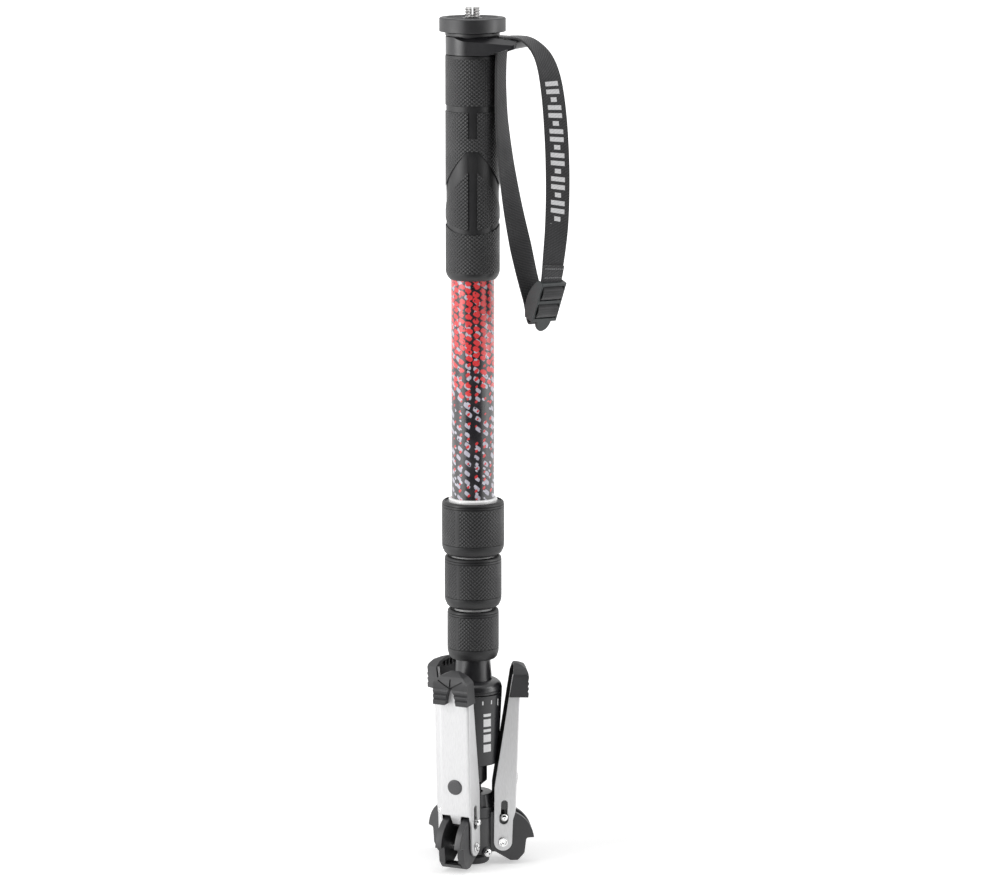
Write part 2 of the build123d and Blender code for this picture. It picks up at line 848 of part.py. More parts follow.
# Leg base: three forks round a hub, with a cup for the ball seat and bosses for the side screws
base_screw_level = sole + base_screw_height
base_screw_planes = []
for turn in range(3):
    screw_turn = radians(base_screw_azimuth + turn * 360 / 3)
    screw_out = Vector(sin(screw_turn), -cos(screw_turn), 0)
    base_screw_planes.append(Plane(origin=(0, 0, base_screw_level), x_dir=(0, 0, 1), z_dir=screw_out))
with BuildPart() as leg_base:
    for azimuth in leg_azimuths:
        extrude(cheek_outline(side_plane(azimuth)), amount=cheek_outer_half, both=True)
    for azimuth in leg_azimuths:
        with BuildSketch(front_plane(azimuth, reach=-pivot_reach)):
            with Locations((0, fork_bar_height - fork_sole_drop)):
                Rectangle(2 * cheek_inner_half, 2 * cam_radius, align=(Align.CENTER, Align.MIN))
        extrude(amount=2 * pivot_reach + overrun, mode=Mode.SUBTRACT)
        with BuildSketch(front_plane(azimuth, reach=-pivot_reach)):
            with Locations((0, -fork_root_drop)):
                Rectangle(2 * cheek_inner_half, fork_sole_drop, align=(Align.CENTER, Align.MAX))
        extrude(amount=pivot_reach + fork_heel_reach, mode=Mode.SUBTRACT)
    with BuildSketch(Plane.XY.offset(base_top)):
        Circle(hub_radius + running_gap)
    extrude(amount=cam_radius, mode=Mode.SUBTRACT)
    hub_points = [
        (0, base_bottom),
        (hub_radius - seam_edge, base_bottom),
        (hub_radius, base_bottom + seam_edge),
        (hub_radius, base_top - seam_edge),
        (hub_radius - seam_edge, base_top),
        (socket_bore_radius - running_gap, base_top),
        (socket_bore_radius - running_gap, base_top + cup_height),
        (0, base_top + cup_height),
    ]
    revolve(outline(hub_points))
    with Locations((0, 0, ball_centre)):
        Sphere(socket_bore_radius, mode=Mode.SUBTRACT)
    for plane in base_screw_planes:
        with BuildSketch(plane.offset(hub_radius - foot_neck_height)):
            Circle(base_screw_boss_radius)
        extrude(amount=base_screw_boss_reach - hub_radius + foot_neck_height)
    for plane in base_screw_planes:
        with BuildSketch(plane.offset(base_screw_boss_reach)):
            Circle(base_screw_radius)
        extrude(amount=-base_screw_length, mode=Mode.SUBTRACT)
    for azimuth in leg_azimuths:
        with BuildSketch(side_plane(azimuth)):
            Circle(pivot_radius)
        extrude(amount=cheek_outer_half + overrun, both=True, mode=Mode.SUBTRACT)
    with BuildSketch(Plane.XY.offset(sole + foot_bolt_sink)):
        Circle(foot_bolt_radius)
    extrude(amount=foot_bolt_head_height + foot_bolt_length, mode=Mode.SUBTRACT)
leg_base.part.label = "leg_base"
export_step(leg_base.part, "parts/leg_base.step")

# Side screws of the leg base, with domed heads
with BuildPart() as base_screws:
    for plane in base_screw_planes:
        with BuildSketch(plane.offset(base_screw_boss_reach)):
            Circle(base_screw_radius)
        extrude(amount=-base_screw_length)
        head_bulge = (base_screw_head_radius**2 + base_screw_head_height**2) / (2 * base_screw_head_height)
        with BuildSketch(plane.offset(base_screw_boss_reach)):
            Circle(base_screw_head_radius)
        extrude(amount=base_screw_head_height)
        head_edges = base_screws.edges().filter_by(GeomType.CIRCLE)
        outer_edge = head_edges.sort_by(Axis(plane.origin, plane.z_dir))[-1]
        fillet(outer_edge, base_screw_head_height * base_screw_head_radius / (head_bulge + base_screw_radius))
base_screws.part.label = "base_screws"
export_step(base_screws.part, "parts/base_screws.step")

# Rubber foot under the hub, counterbored for its bolt
bolt_head_top = sole + foot_bolt_sink + foot_bolt_head_height
with BuildPart() as foot:
    foot_points = [
        (0, base_bottom),
        (foot_neck_radius, base_bottom),
        (foot_neck_radius, base_bottom - foot_neck_height),
        (foot_radius, base_bottom - 2 * foot_neck_height),
        (foot_radius, sole),
        (0, sole),
    ]
    revolve(outline(foot_points))
    fillet(foot.edges().group_by(Axis.Z)[0], foot_sole_edge)
    with BuildSketch(Plane.XY.offset(sole)):
        Circle(foot_bolt_head_radius + running_gap)
    extrude(amount=foot_bolt_sink + foot_bolt_head_height, mode=Mode.SUBTRACT)
    with BuildSketch(Plane.XY.offset(sole)):
        Circle(foot_bolt_radius)
    extrude(amount=foot_height, mode=Mode.SUBTRACT)
foot.part.label = "foot"
export_step(foot.part, "parts/foot.step")

# Foot bolt, up through the foot into the hub
with BuildPart() as foot_bolt:
    revolve(ring_section(0, foot_bolt_head_radius, bolt_head_top, sole + foot_bolt_sink))
    revolve(ring_section(0, foot_bolt_radius, bolt_head_top + foot_bolt_length, bolt_head_top))
    with BuildSketch(Plane.XY.offset(sole + foot_bolt_sink)):
        RegularPolygon(foot_bolt_socket_radius, 6)
    extrude(amount=foot_bolt_head_height / 2, mode=Mode.SUBTRACT)
foot_bolt.part.label = "foot_bolt"
export_step(foot_bolt.part, "parts/foot_bolt.step")

# The three legs, each with its pivot, channel, pad, plug and latch studs
for number, azimuth in enumerate(leg_azimuths, 1):
    name = f"leg_{number}"
    level_side = side_plane(azimuth)
    side = side_plane(azimuth, leg_splay)
    front = front_plane(azimuth, leg_splay)
    along = Axis(side.origin, side.y_dir)
    outward = Axis(side.origin, side.x_dir)
    inner_half = leg_half_width - leg_side_wall
    web_back = leg_face - leg_web_wall

    # Pivot screw, with a socket in each head
    with BuildPart() as pivot:
        with BuildSketch(level_side):
            Circle(pivot_radius)
        extrude(amount=leg_half_width + body_gap, both=True)
        for facing in (1, -1):
            head_plane = level_side.offset(facing * (leg_half_width + body_gap))
            with BuildSketch(head_plane):
                Circle(pivot_head_radius)
            extrude(amount=facing * pivot_head_height)
            with BuildSketch(head_plane.offset(facing * pivot_head_height)):
                RegularPolygon(pivot_socket_radius, 6)
            extrude(amount=-facing * pivot_socket_depth, mode=Mode.SUBTRACT)
    pivot.part.label = f"{name}_pivot"
    export_step(pivot.part, f"parts/{name}_pivot.step")

    # Channel: side walls with round ears, a web with a tongue, latch slots and bores
    with BuildPart() as channel:
        with BuildSketch(side):
            with BuildLine():
                ThreePointArc((-ear_radius, 0), (0, -ear_radius), (ear_radius, 0))
                Polyline(
                    (ear_radius, 0),
                    (ear_radius, ear_shoulder),
                    (leg_face, web_foot),
                    (leg_face, leg_length),
                    (wall_end_reach, leg_length),
                    (-wall_knee_reach, wall_knee_height),
                    (-ear_radius, 0),
                )
            make_face()
        extrude(amount=leg_half_width, both=True)
        fillet(channel.edges().filter_by(along).sort_by(outward)[-2:], leg_corner_radius)
        with BuildSketch(front):
            with Locations((0, -ear_radius - overrun)):
                Rectangle(2 * inner_half, leg_length + 2 * ear_radius, align=(Align.CENTER, Align.MIN))
        extrude(amount=web_back, mode=Mode.SUBTRACT)
        with BuildSketch(front):
            with Locations((0, -ear_radius - overrun)):
                Rectangle(2 * inner_half, leg_length + 2 * ear_radius, align=(Align.CENTER, Align.MIN))
        extrude(amount=-2 * wall_knee_reach, mode=Mode.SUBTRACT)
        with BuildSketch(front.offset(web_back)):
            with Locations((0, web_foot)):
                Rectangle(2 * inner_half, web_foot, align=(Align.CENTER, Align.MAX))
        extrude(amount=leg_web_wall, mode=Mode.SUBTRACT)
        with BuildSketch(front.offset(web_back)):
            with BuildLine():
                Polyline(
                    (-tongue_half_width, web_foot),
                    (tongue_half_width, web_foot),
                    (tongue_end_half_width, web_foot - tongue_length),
                    (-tongue_end_half_width, web_foot - tongue_length),
                    close=True,
                )
            make_face()
        extrude(amount=leg_web_wall)
        with BuildSketch(side):
            Circle(pivot_radius + running_gap)
            foot_middle = (slot_foot_bottom + slot_foot_top) / 2
            with Locations((0, foot_middle)):
                SlotOverall(slot_foot_top - slot_foot_bottom, 2 * slot_foot_half_width, rotation=90)
            with Locations((0, (foot_middle + slot_top) / 2)):
                SlotOverall(slot_top - foot_middle, 2 * slot_half_width, rotation=90)
        extrude(amount=leg_half_width + overrun, both=True, mode=Mode.SUBTRACT)
        with BuildSketch(front.offset(web_back)):
            with Locations((0, plug_height)):
                Circle(plug_stem_radius)
        extrude(amount=leg_web_wall, mode=Mode.SUBTRACT)
    channel.part.label = f"{name}_channel"
    export_step(channel.part, f"parts/{name}_channel.step")

    # Plug in the web
    with BuildPart() as plug:
        with BuildSketch(front.offset(leg_face)):
            with Locations((0, plug_height)):
                Circle(plug_head_radius)
        extrude(amount=plug_head_height)
        fillet(plug.edges().sort_by(outward)[-1], plug_edge_radius)
        with BuildSketch(front.offset(leg_face)):
            with Locations((0, plug_height)):
                Circle(plug_stem_radius)
        extrude(amount=-leg_web_wall - plug_inner_length)
    plug.part.label = f"{name}_plug"
    export_step(plug.part, f"parts/{name}_plug.step")

    # Latch studs in the slots, domed outside the walls
    with BuildPart() as latch:
        stud_start = inner_half - latch_inner_length
        for facing in (1, -1):
            with BuildSketch(side.offset(facing * stud_start)):
                with Locations((0, latch_height)):
                    Circle(latch_radius)
            extrude(amount=facing * (leg_half_width + body_gap - stud_start))
            head_plane = side.offset(facing * (leg_half_width + body_gap))
            with BuildSketch(head_plane):
                with Locations((0, latch_height)):
                    Circle(latch_head_radius)
            extrude(amount=facing * latch_head_height)
        stud_ends = latch.edges().filter_by(GeomType.CIRCLE).sort_by(Axis(side.origin, side.z_dir))
        fillet([stud_ends[0], stud_ends[-1]], latch_head_height * cos(latch_tilt) - body_gap)
    latch.part.label = f"{name}_latch"
    export_step(latch.part, f"parts/{name}_latch.step")

    # Pad over the leg's tip: arched top, tread outside, hollow behind with two ribs
    with BuildPart() as pad:
        shoulder = pad_top - pad_shoulder_drop
        with BuildSketch(front):
            with BuildLine():
                Line((-pad_half_width, shoulder), (-pad_half_width, pad_bottom))
                Line((-pad_half_width, pad_bottom), (pad_half_width, pad_bottom))
                Line((pad_half_width, pad_bottom), (pad_half_width, shoulder))
                ThreePointArc((pad_half_width, shoulder), (0, pad_top), (-pad_half_width, shoulder))
            make_face()
        extrude(amount=pad_tread_face + overrun)
        pad_side = [
            (pad_inner_face, pad_bottom),
            (pad_tread_face, pad_bottom),
            (pad_tread_face, leg_length - pad_crown_height),
            (pad_crown_face, pad_top),
            (pad_inner_top_face, pad_top),
        ]
        extrude(outline(pad_side, side), amount=pad_half_width, both=True, mode=Mode.INTERSECT)
        with BuildSketch(front):
            with Locations((0, leg_length + running_gap)):
                pocket_height = leg_length - pad_bottom + overrun
                Rectangle(2 * (leg_half_width + running_gap), pocket_height, align=(Align.CENTER, Align.MAX))
        extrude(amount=leg_face + running_gap, mode=Mode.SUBTRACT)
        with BuildSketch(front):
            with BuildLine():
                rim_half = pad_half_width - 2 * pad_pocket_rim
                rim_foot = leg_length - overrun
                rim_peak = pad_top - pad_pocket_rim
                Line((-rim_half, rim_peak - pad_shoulder_drop), (-rim_half, rim_foot))
                Line((-rim_half, rim_foot), (rim_half, rim_foot))
                Line((rim_half, rim_foot), (rim_half, rim_peak - pad_shoulder_drop))
                ThreePointArc(
                    (rim_half, rim_peak - pad_shoulder_drop),
                    (0, rim_peak),
                    (-rim_half, rim_peak - pad_shoulder_drop),
                )
            make_face()
            for shift in (-pad_rib_width, pad_rib_width):
                with Locations((shift, pad_top)):
                    Rectangle(pad_rib_width, pad_top, align=(Align.CENTER, Align.MAX), mode=Mode.SUBTRACT)
        extrude(amount=pad_inner_top_face + pad_pocket_depth, mode=Mode.SUBTRACT)
        with BuildSketch(front.offset(leg_face)):
            with BuildLine():
                Polyline(
                    (-pad_notch_half_width, pad_bottom),
                    (pad_notch_half_width, pad_bottom),
                    (0, pad_bottom + pad_notch_height),
                    close=True,
                )
            make_face()
        extrude(amount=pad_tread_face, mode=Mode.SUBTRACT)
        with BuildSketch(front.offset(pad_tread_face - pad_groove_depth)):
            fan_height = pad_bottom + pad_notch_height - pad_groove_width
            with Locations((0, fan_height)):
                Rectangle(pad_groove_width, pad_notch_height, align=(Align.CENTER, Align.MIN))
            with Locations((0, fan_height)):
                for fan_turn in (pad_fan_angle, 180 - pad_fan_angle):
                    Rectangle(
                        pad_fan_length,
                        pad_groove_width,
                        rotation=fan_turn,
                        align=(Align.MIN, Align.CENTER),
                    )
            for row in range(pad_tread_count):
                with Locations((0, pad_bottom + (row + 1) * pad_tread_pitch - pad_groove_width)):
                    Rectangle(2 * pad_half_width + overrun, pad_groove_width)
        extrude(amount=pad_tread_face, mode=Mode.SUBTRACT)
    pad.part.label = f"{name}_pad"
    export_step(pad.part, f"parts/{name}_pad.step")

# Path of the webbing, with each bend as wide as its two runs allow
strap_radii = []
for before, corner, after in zip(strap_route, strap_route[1:], strap_route[2:]):
    run_in = Vector(corner) - Vector(before)
    run_out = Vector(after) - Vector(corner)
    half_turn = radians(run_in.get_angle(run_out)) / 2
    strap_radii.append(strap_bend_share * min(run_in.length, run_out.length) / tan(half_turn))
with BuildLine() as strap_path:
    FilletPolyline(*strap_route, radius=strap_radii)
strap_wire = strap_path.wires()[0]
print("strap radii", [round(radius, 1) for radius in strap_radii])

# Stations along the path, closer together in the bends, and the middle of each bend
strap_stations = [0]
strap_marks = [0]
for edge in strap_wire.order_edges():
    start = strap_stations[-1]
    turn = 0
    if edge.geom_type == GeomType.CIRCLE:
        turn = degrees(edge.length / edge.radius)
        strap_marks.append(start + edge.length / 2)
    steps = max(ceil(turn / strap_step_turn), ceil(edge.length / strap_step_length))
    strap_stations += [start + edge.length * (step + 1) / steps for step in range(steps)]
strap_length = strap_wire.length
strap_marks.append(strap_length)


# The webbing's section at a distance along its path
def strap_section(distance):
    share = min(distance / strap_length, 1)
    tangent = strap_wire % share
    after = min(bisect_left(strap_marks, distance, 1), len(strap_marks) - 1)
    gap = strap_marks[after] - strap_marks[after - 1]
    blend = min(max((distance - strap_marks[after - 1]) / gap, 0), 1)
    turn = radians(strap_turns[after - 1] + (strap_turns[after] - strap_turns[after - 1]) * blend)
    across = Vector(cos(turn), sin(turn), 0)
    across = across - tangent * across.dot(tangent)
    return Plane(origin=strap_wire @ share, x_dir=across, z_dir=tangent)


with BuildPart() as wrist_strap:
    for distance in strap_stations:
        with BuildSketch(strap_section(distance)):
            Rectangle(strap_width, strap_thickness)
    loft(ruled=True)
strap_share = wrist_strap.part.volume / (strap_width * strap_thickness * strap_length)
print("strap length", round(strap_length, 1), "volume over section times length", round(strap_share, 4))
wrist_strap.part.label = "wrist_strap"
export_step(wrist_strap.part, "parts/wrist_strap.step")

# Ladder buckle: flanks with a curved back, bars across the front and a tongue at the foot
width_turn = radians(buckle_turn)
width_line = Vector(cos(width_turn), sin(width_turn), 0)
buckle_up = Vector(sin(radians(buckle_lean)), -sin(radians(buckle_lean)), cos(radians(buckle_lean)))
buckle_across = (width_line - buckle_up * width_line.dot(buckle_up) / buckle_up.dot(buckle_up)).normalized()
buckle_out = buckle_across.cross(buckle_up).normalized()
buckle_front = Plane(origin=buckle_place, x_dir=buckle_across, z_dir=buckle_out)
buckle_side = Plane(origin=buckle_place, x_dir=buckle_out, z_dir=-buckle_across)
half_length = buckle_length / 2
window_height = (buckle_length - 3 * buckle_bar) / 2
with BuildPart() as strap_buckle:
    with BuildSketch(buckle_side):
        with BuildLine():
            Line((buckle_face, -half_length), (buckle_face, half_length))
            Line((buckle_face, half_length), (buckle_face - buckle_top_depth, half_length))
            ThreePointArc(
                (buckle_face - buckle_top_depth, half_length),
                (buckle_face - buckle_belly_depth, -half_length / 3),
                (buckle_face - buckle_foot_depth, -half_length),
            )
            Line((buckle_face - buckle_foot_depth, -half_length), (buckle_face, -half_length))
        make_face()
    extrude(amount=buckle_width / 2, both=True)
    with BuildSketch(buckle_front.offset(buckle_face - buckle_bar_depth)):
        Rectangle(buckle_window_width, buckle_length + overrun)
    extrude(amount=-buckle_belly_depth, mode=Mode.SUBTRACT)
    with BuildSketch(buckle_front.offset(buckle_face)):
        for side_sign in (1, -1):
            with Locations((0, side_sign * (buckle_bar + window_height) / 2)):
                Rectangle(buckle_window_width, window_height)
    extrude(amount=-buckle_bar_depth, mode=Mode.SUBTRACT)
    with BuildSketch(buckle_front.offset(buckle_face)):
        with BuildLine():
            tongue_half = buckle_tongue_width / 2
            Line((-tongue_half, -half_length), (tongue_half, -half_length))
            ThreePointArc(
                (tongue_half, -half_length),
                (0, -half_length - buckle_tongue_length),
                (-tongue_half, -half_length),
            )
        make_face()
    extrude(amount=-buckle_tongue_thickness)
strap_buckle.part.label = "strap_buckle"
export_step(strap_buckle.part, "parts/strap_buckle.step")
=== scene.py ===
# Camera monopod with twist locks, a wrist strap and folding feet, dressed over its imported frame.
# Sizes in the dictionaries are millimetres unless a note says otherwise, and the scene itself is in metres.
import math
from functools import partial
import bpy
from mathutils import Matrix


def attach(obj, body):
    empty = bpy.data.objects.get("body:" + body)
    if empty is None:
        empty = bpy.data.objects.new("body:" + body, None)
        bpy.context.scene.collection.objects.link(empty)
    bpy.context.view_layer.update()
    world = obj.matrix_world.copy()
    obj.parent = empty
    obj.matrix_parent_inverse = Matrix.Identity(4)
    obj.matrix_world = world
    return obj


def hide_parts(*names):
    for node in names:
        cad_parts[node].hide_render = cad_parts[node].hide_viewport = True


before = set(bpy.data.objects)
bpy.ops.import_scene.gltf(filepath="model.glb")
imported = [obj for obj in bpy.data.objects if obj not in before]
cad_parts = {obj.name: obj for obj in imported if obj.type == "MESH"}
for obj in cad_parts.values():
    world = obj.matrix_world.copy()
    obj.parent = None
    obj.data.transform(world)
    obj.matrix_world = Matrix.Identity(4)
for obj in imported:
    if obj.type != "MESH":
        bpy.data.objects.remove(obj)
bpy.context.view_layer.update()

from types import SimpleNamespace
import bpy
from mathutils import Matrix, Vector

mm = 0.001
bpy.ops.object.select_all(action="DESELECT")
print("frame loaded:", len(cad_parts), "nodes")


# selecting, cutting and placing

def only(obj):
    bpy.ops.object.select_all(action="DESELECT")
    obj.select_set(True)
    bpy.context.view_layer.objects.active = obj


def applied(obj):
    only(obj)
    bpy.ops.object.transform_apply(location=True, rotation=True, scale=True)
    return obj


def added(name):
    # names the primitive that has just been added and puts its place into its mesh
    obj = bpy.context.object
    obj.name = name
    return applied(obj)


def startEdit(obj):
    only(obj)
    bpy.ops.object.mode_set(mode="EDIT")
    bpy.ops.mesh.select_mode(type="FACE")
    bpy.ops.mesh.select_all(action="SELECT")


def endEdit(merge=1e-6):
    bpy.ops.mesh.select_all(action="SELECT")
    if merge:
        bpy.ops.mesh.remove_doubles(threshold=merge)
    bpy.ops.mesh.normals_make_consistent(inside=False)
    bpy.ops.object.mode_set(mode="OBJECT")


def turned(name, profile, sides=96, closed=False):
    # profile is (radius, height) pairs; a closed ring returns to its first point, a solid gets flat ends
    bpy.ops.object.select_all(action="DESELECT")
    radius, height = profile[0]
    bpy.ops.mesh.primitive_circle_add(vertices=sides, radius=radius * mm, location=(0, 0, height * mm),
                                      fill_type="NOTHING" if closed else "NGON")
    obj = added(name)
    bpy.ops.object.mode_set(mode="EDIT")
    bpy.ops.mesh.select_mode(type="VERT")
    bpy.ops.mesh.select_all(action="SELECT")
    if closed:
        profile = profile + profile[:1]
    for (r0, h0), (r1, h1) in zip(profile, profile[1:]):
        bpy.ops.mesh.extrude_region_move(TRANSFORM_OT_translate={"value": (0, 0, (h1 - h0) * mm)})
        bpy.ops.transform.resize(value=(r1 / r0, r1 / r0, 1), center_override=(0, 0, h1 * mm))
    endEdit()
    return obj


def block(name, low, high):
    bpy.ops.object.select_all(action="DESELECT")
    centre = [(a + b) / 2 * mm for a, b in zip(low, high)]
    bpy.ops.mesh.primitive_cube_add(size=1, location=centre, scale=[(b - a) * mm for a, b in zip(low, high)])
    return added(name)


def rod(name, start, end, radius, sides=32):
    # a plain round bar between two points, to cut with or to build on
    bpy.ops.object.select_all(action="DESELECT")
    a, b = Vector(start) * mm, Vector(end) * mm
    turn = (b - a).to_track_quat("Z", "Y").to_euler()
    bpy.ops.mesh.primitive_cylinder_add(vertices=sides, radius=radius * mm, depth=(b - a).length,
                                        location=(a + b) / 2, rotation=turn)
    return added(name)


def slab(name, outline, axis, start, end):
    # a flat outline laid across one axis and pulled along it
    bpy.ops.object.select_all(action="DESELECT")
    bpy.ops.mesh.primitive_circle_add(vertices=len(outline), radius=mm, fill_type="NGON")
    obj = bpy.context.object
    obj.name = name
    at = "xyz".index(axis)
    for corner, spot in zip(obj.data.vertices, outline):
        place = list(spot)
        place.insert(at, start)
        corner.co = Vector(place) * mm
    pull = [0, 0, 0]
    pull[at] = (end - start) * mm
    bpy.ops.object.mode_set(mode="EDIT")
    bpy.ops.mesh.select_all(action="SELECT")
    bpy.ops.mesh.extrude_region_move(TRANSFORM_OT_translate={"value": pull})
    endEdit()
    return obj


def combine(obj, other, operation="DIFFERENCE"):
    only(obj)
    bpy.ops.object.modifier_add(type="BOOLEAN")
    change = obj.modifiers[-1]
    change.operation = operation
    change.object = other
    change.solver = "EXACT"
    bpy.ops.object.modifier_apply(modifier=change.name)
    bpy.data.objects.remove(other)
    return obj


def eased(obj, width, segments=2, angle=35):
    # rounds the edges that turn by more than the angle
    only(obj)
    bpy.ops.object.modifier_add(type="BEVEL")
    edge = obj.modifiers[-1]
    edge.width = width * mm
    edge.segments = segments
    edge.limit_method = "ANGLE"
    edge.angle_limit = math.radians(angle)
    edge.miter_outer = "MITER_ARC"
    bpy.ops.object.modifier_apply(modifier=edge.name)
    return obj


def cleaned(obj, angle=1.0):
    # joins flat facets that a cut has left
    startEdit(obj)
    bpy.ops.mesh.remove_doubles(threshold=2e-6)
    bpy.ops.mesh.dissolve_limited(angle_limit=math.radians(angle))
    endEdit(0)
    return obj


def joined(pieces, name):
    bpy.ops.object.select_all(action="DESELECT")
    for piece in pieces:
        piece.select_set(True)
    bpy.context.view_layer.objects.active = pieces[0]
    bpy.ops.object.transform_apply(location=True, rotation=True, scale=True)
    bpy.ops.object.join()
    bpy.context.object.name = name
    return bpy.context.object


def copied(obj, name):
    twin = obj.copy()
    twin.data = obj.data.copy()
    twin.name = name
    bpy.context.scene.collection.objects.link(twin)
    return twin


def around(azimuth, reach, height):
    # a place round the upright axis, its azimuth counted from the front
    turn = math.radians(azimuth)
    return (reach * math.sin(turn), -reach * math.cos(turn), height)


def moved(obj, place, degrees=(0, 0, 0)):
    obj.rotation_euler = [math.radians(part) for part in degrees]
    obj.location = [part * mm for part in place]
    return applied(obj)


def facing(direction):
    # the turn that points a piece's own Z along a direction
    return Vector(direction).to_track_quat("Z", "Y").to_euler()


def settled(obj, body, finish, nodes=(), smooth=35):
    applied(obj)
    bpy.ops.object.shade_smooth_by_angle(angle=math.radians(smooth))
    bpy.ops.object.modifier_add(type="WEIGHTED_NORMAL")
    obj.modifiers[-1].keep_sharp = True
    bpy.ops.object.modifier_apply(modifier=obj.modifiers[-1].name)
    obj.data.materials.clear()
    obj.data.materials.append(finish)
    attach(obj, body)
    if nodes:
        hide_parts(*nodes)
    return obj


def arcPoints(first, last, steps):
    # angles at even steps, in radians, both ends included
    return [math.radians(first + (last - first) * k / steps) for k in range(steps + 1)]


def arcTo(start, end, steps=6):
    # points of an arc that leaves start straight down and ends at end
    (r0, h0), (r1, h1) = start, end
    inset, drop = r0 - r1, h0 - h1
    radius = (inset * inset + drop * drop) / (2 * inset)
    sweep = math.asin(min(drop / radius, 1))
    angles = [sweep * step / steps for step in range(1, steps + 1)]
    return [(r0 - radius * (1 - math.cos(a)), h0 - radius * math.sin(a)) for a in angles]


def roundCorners(points, radii, steps=4):
    most = 0.45   # the share of a side that a corner may take
    made = []
    for i, (point, radius) in enumerate(zip(points, radii)):
        here = Vector(point)
        before, after = Vector(points[i - 1]), Vector(points[(i + 1) % len(points)])
        if not radius:
            made.append(tuple(here))
            continue
        a, b = (before - here).normalized(), (after - here).normalized()
        half = a.angle(b) / 2
        back = min(radius / math.tan(half), most * (before - here).length, most * (after - here).length)
        for step in range(steps + 1):
            share = step / steps
            p, q = here + a * back, here + b * back
            made.append(tuple(p * (1 - share) ** 2 + here * 2 * share * (1 - share) + q * share ** 2))
    return made


# finishes

mathWords = {"plus": "ADD", "minus": "SUBTRACT", "times": "MULTIPLY", "over": "DIVIDE", "below": "LESS_THAN",
             "above": "GREATER_THAN", "zigzag": "PINGPONG", "size": "ABSOLUTE", "rest": "FRACT",
             "whole": "FLOOR", "power": "POWER", "root": "SQRT", "angle": "ARCTAN2", "wrap": "WRAP",
             "most": "MAXIMUM"}


def mathStep(tree, operation, *values):
    step = tree.nodes.new("ShaderNodeMath")
    step.operation = operation
    for socket, value in zip(step.inputs, values):
        if isinstance(value, (int, float)):
            socket.default_value = value
        else:
            tree.links.new(value, socket)
    return step.outputs[0]


def mathsOf(tree):
    # plain words for the maths nodes of one material
    return SimpleNamespace(**{word: partial(mathStep, tree, step) for word, step in mathWords.items()})


def blendColour(tree, factor, first, second):
    mix = tree.nodes.new("ShaderNodeMix")
    mix.data_type = "RGBA"
    for socket, value in ((mix.inputs[0], factor), (mix.inputs[6], first), (mix.inputs[7], second)):
        if isinstance(value, (tuple, list)):
            socket.default_value = (*value, 1)
        elif isinstance(value, (int, float)):
            socket.default_value = value
        else:
            tree.links.new(value, socket)
    return mix.outputs[2]


def noiseOf(tree, vector, scale, detail=3.0):
    noise = tree.nodes.new("ShaderNodeTexNoise")
    noise.inputs["Scale"].default_value = scale
    noise.inputs["Detail"].default_value = detail
    tree.links.new(vector, noise.inputs["Vector"])
    return noise.outputs[0]


def remap(tree, value, low, high, start=0.0, end=1.0):
    step = tree.nodes.new("ShaderNodeMapRange")
    tree.links.new(value, step.inputs["Value"])
    for name, number in (("From Min", low), ("From Max", high), ("To Min", start), ("To Max", end)):
        step.inputs[name].default_value = number
    return step.outputs[0]


def splitUp(tree, vector):
    split = tree.nodes.new("ShaderNodeSeparateXYZ")
    tree.links.new(vector, split.inputs[0])
    return split.outputs


def shaded(colour, share):
    return tuple(min(part * share, 1) for part in colour)


def newFinish(name, look):
    # a principled surface with grain in its colour, its roughness and its bump
    material = bpy.data.materials.new(name)
    material.use_nodes = True
    tree = material.node_tree
    shader = tree.nodes["Principled BSDF"]
    place = tree.nodes.new("ShaderNodeTexCoord").outputs["Object"]
    drawn = tree.nodes.new("ShaderNodeMapping")   # a small scale along Z draws the grain out
    drawn.inputs["Scale"].default_value = (1, 1, look.get("drawn", 1))
    tree.links.new(place, drawn.inputs[0])
    grain = noiseOf(tree, drawn.outputs[0], look["grain"])
    cloud = noiseOf(tree, place, look.get("cloud", 60), 2.0)
    colour = blendColour(tree, remap(tree, grain, 0.35, 0.65), shaded(look["colour"], look.get("dark", 0.85)),
                         shaded(look["colour"], look.get("light", 1.12)))
    colour = blendColour(tree, remap(tree, cloud, 0.4, 0.7, 0, look.get("cloudShare", 0.25)), colour,
                         look.get("cloudColour", shaded(look["colour"], 1.3)))
    height = remap(tree, grain, 0, 1, 0, look.get("grainHeight", 0.3))
    for socket, key, usual in (("Metallic", "metallic", 0), ("Specular IOR Level", "specular", 0.5),
                               ("Coat Weight", "coat", 0), ("Coat Roughness", "coatRoughness", 0.1),
                               ("Sheen Weight", "sheen", 0)):
        shader.inputs[socket].default_value = look.get(key, usual)
    if "inside" in look:   # faces marked as inner ones get a dark colour and no metal
        inside = tree.nodes.new("ShaderNodeAttribute")
        inside.attribute_name = "innerSide"
        colour = blendColour(tree, inside.outputs["Fac"], colour, look["inside"])
        metal = remap(tree, inside.outputs["Fac"], 0, 1, look["metallic"], 0)
        tree.links.new(metal, shader.inputs["Metallic"])
    return SimpleNamespace(material=material, tree=tree, shader=shader, place=place, colour=colour,
                           height=height, cloud=cloud)


def finishUp(parts, look):
    tree, shader = parts.tree, parts.shader
    tree.links.new(parts.colour, shader.inputs["Base Color"])
    rough = look["roughness"]
    spread = look.get("roughSpread", 0.08)
    tree.links.new(remap(tree, parts.cloud, 0.3, 0.7, rough - spread, rough + spread),
                   shader.inputs["Roughness"])
    bump = tree.nodes.new("ShaderNodeBump")
    bump.inputs["Strength"].default_value = look.get("bump", 0.4)
    bump.inputs["Distance"].default_value = look.get("bumpDepth", 0.05) * mm
    tree.links.new(parts.height, bump.inputs["Height"])
    tree.links.new(bump.outputs[0], shader.inputs["Normal"])
    return parts.material


def plainFinish(name, look):
    return finishUp(newFinish(name, look), look)


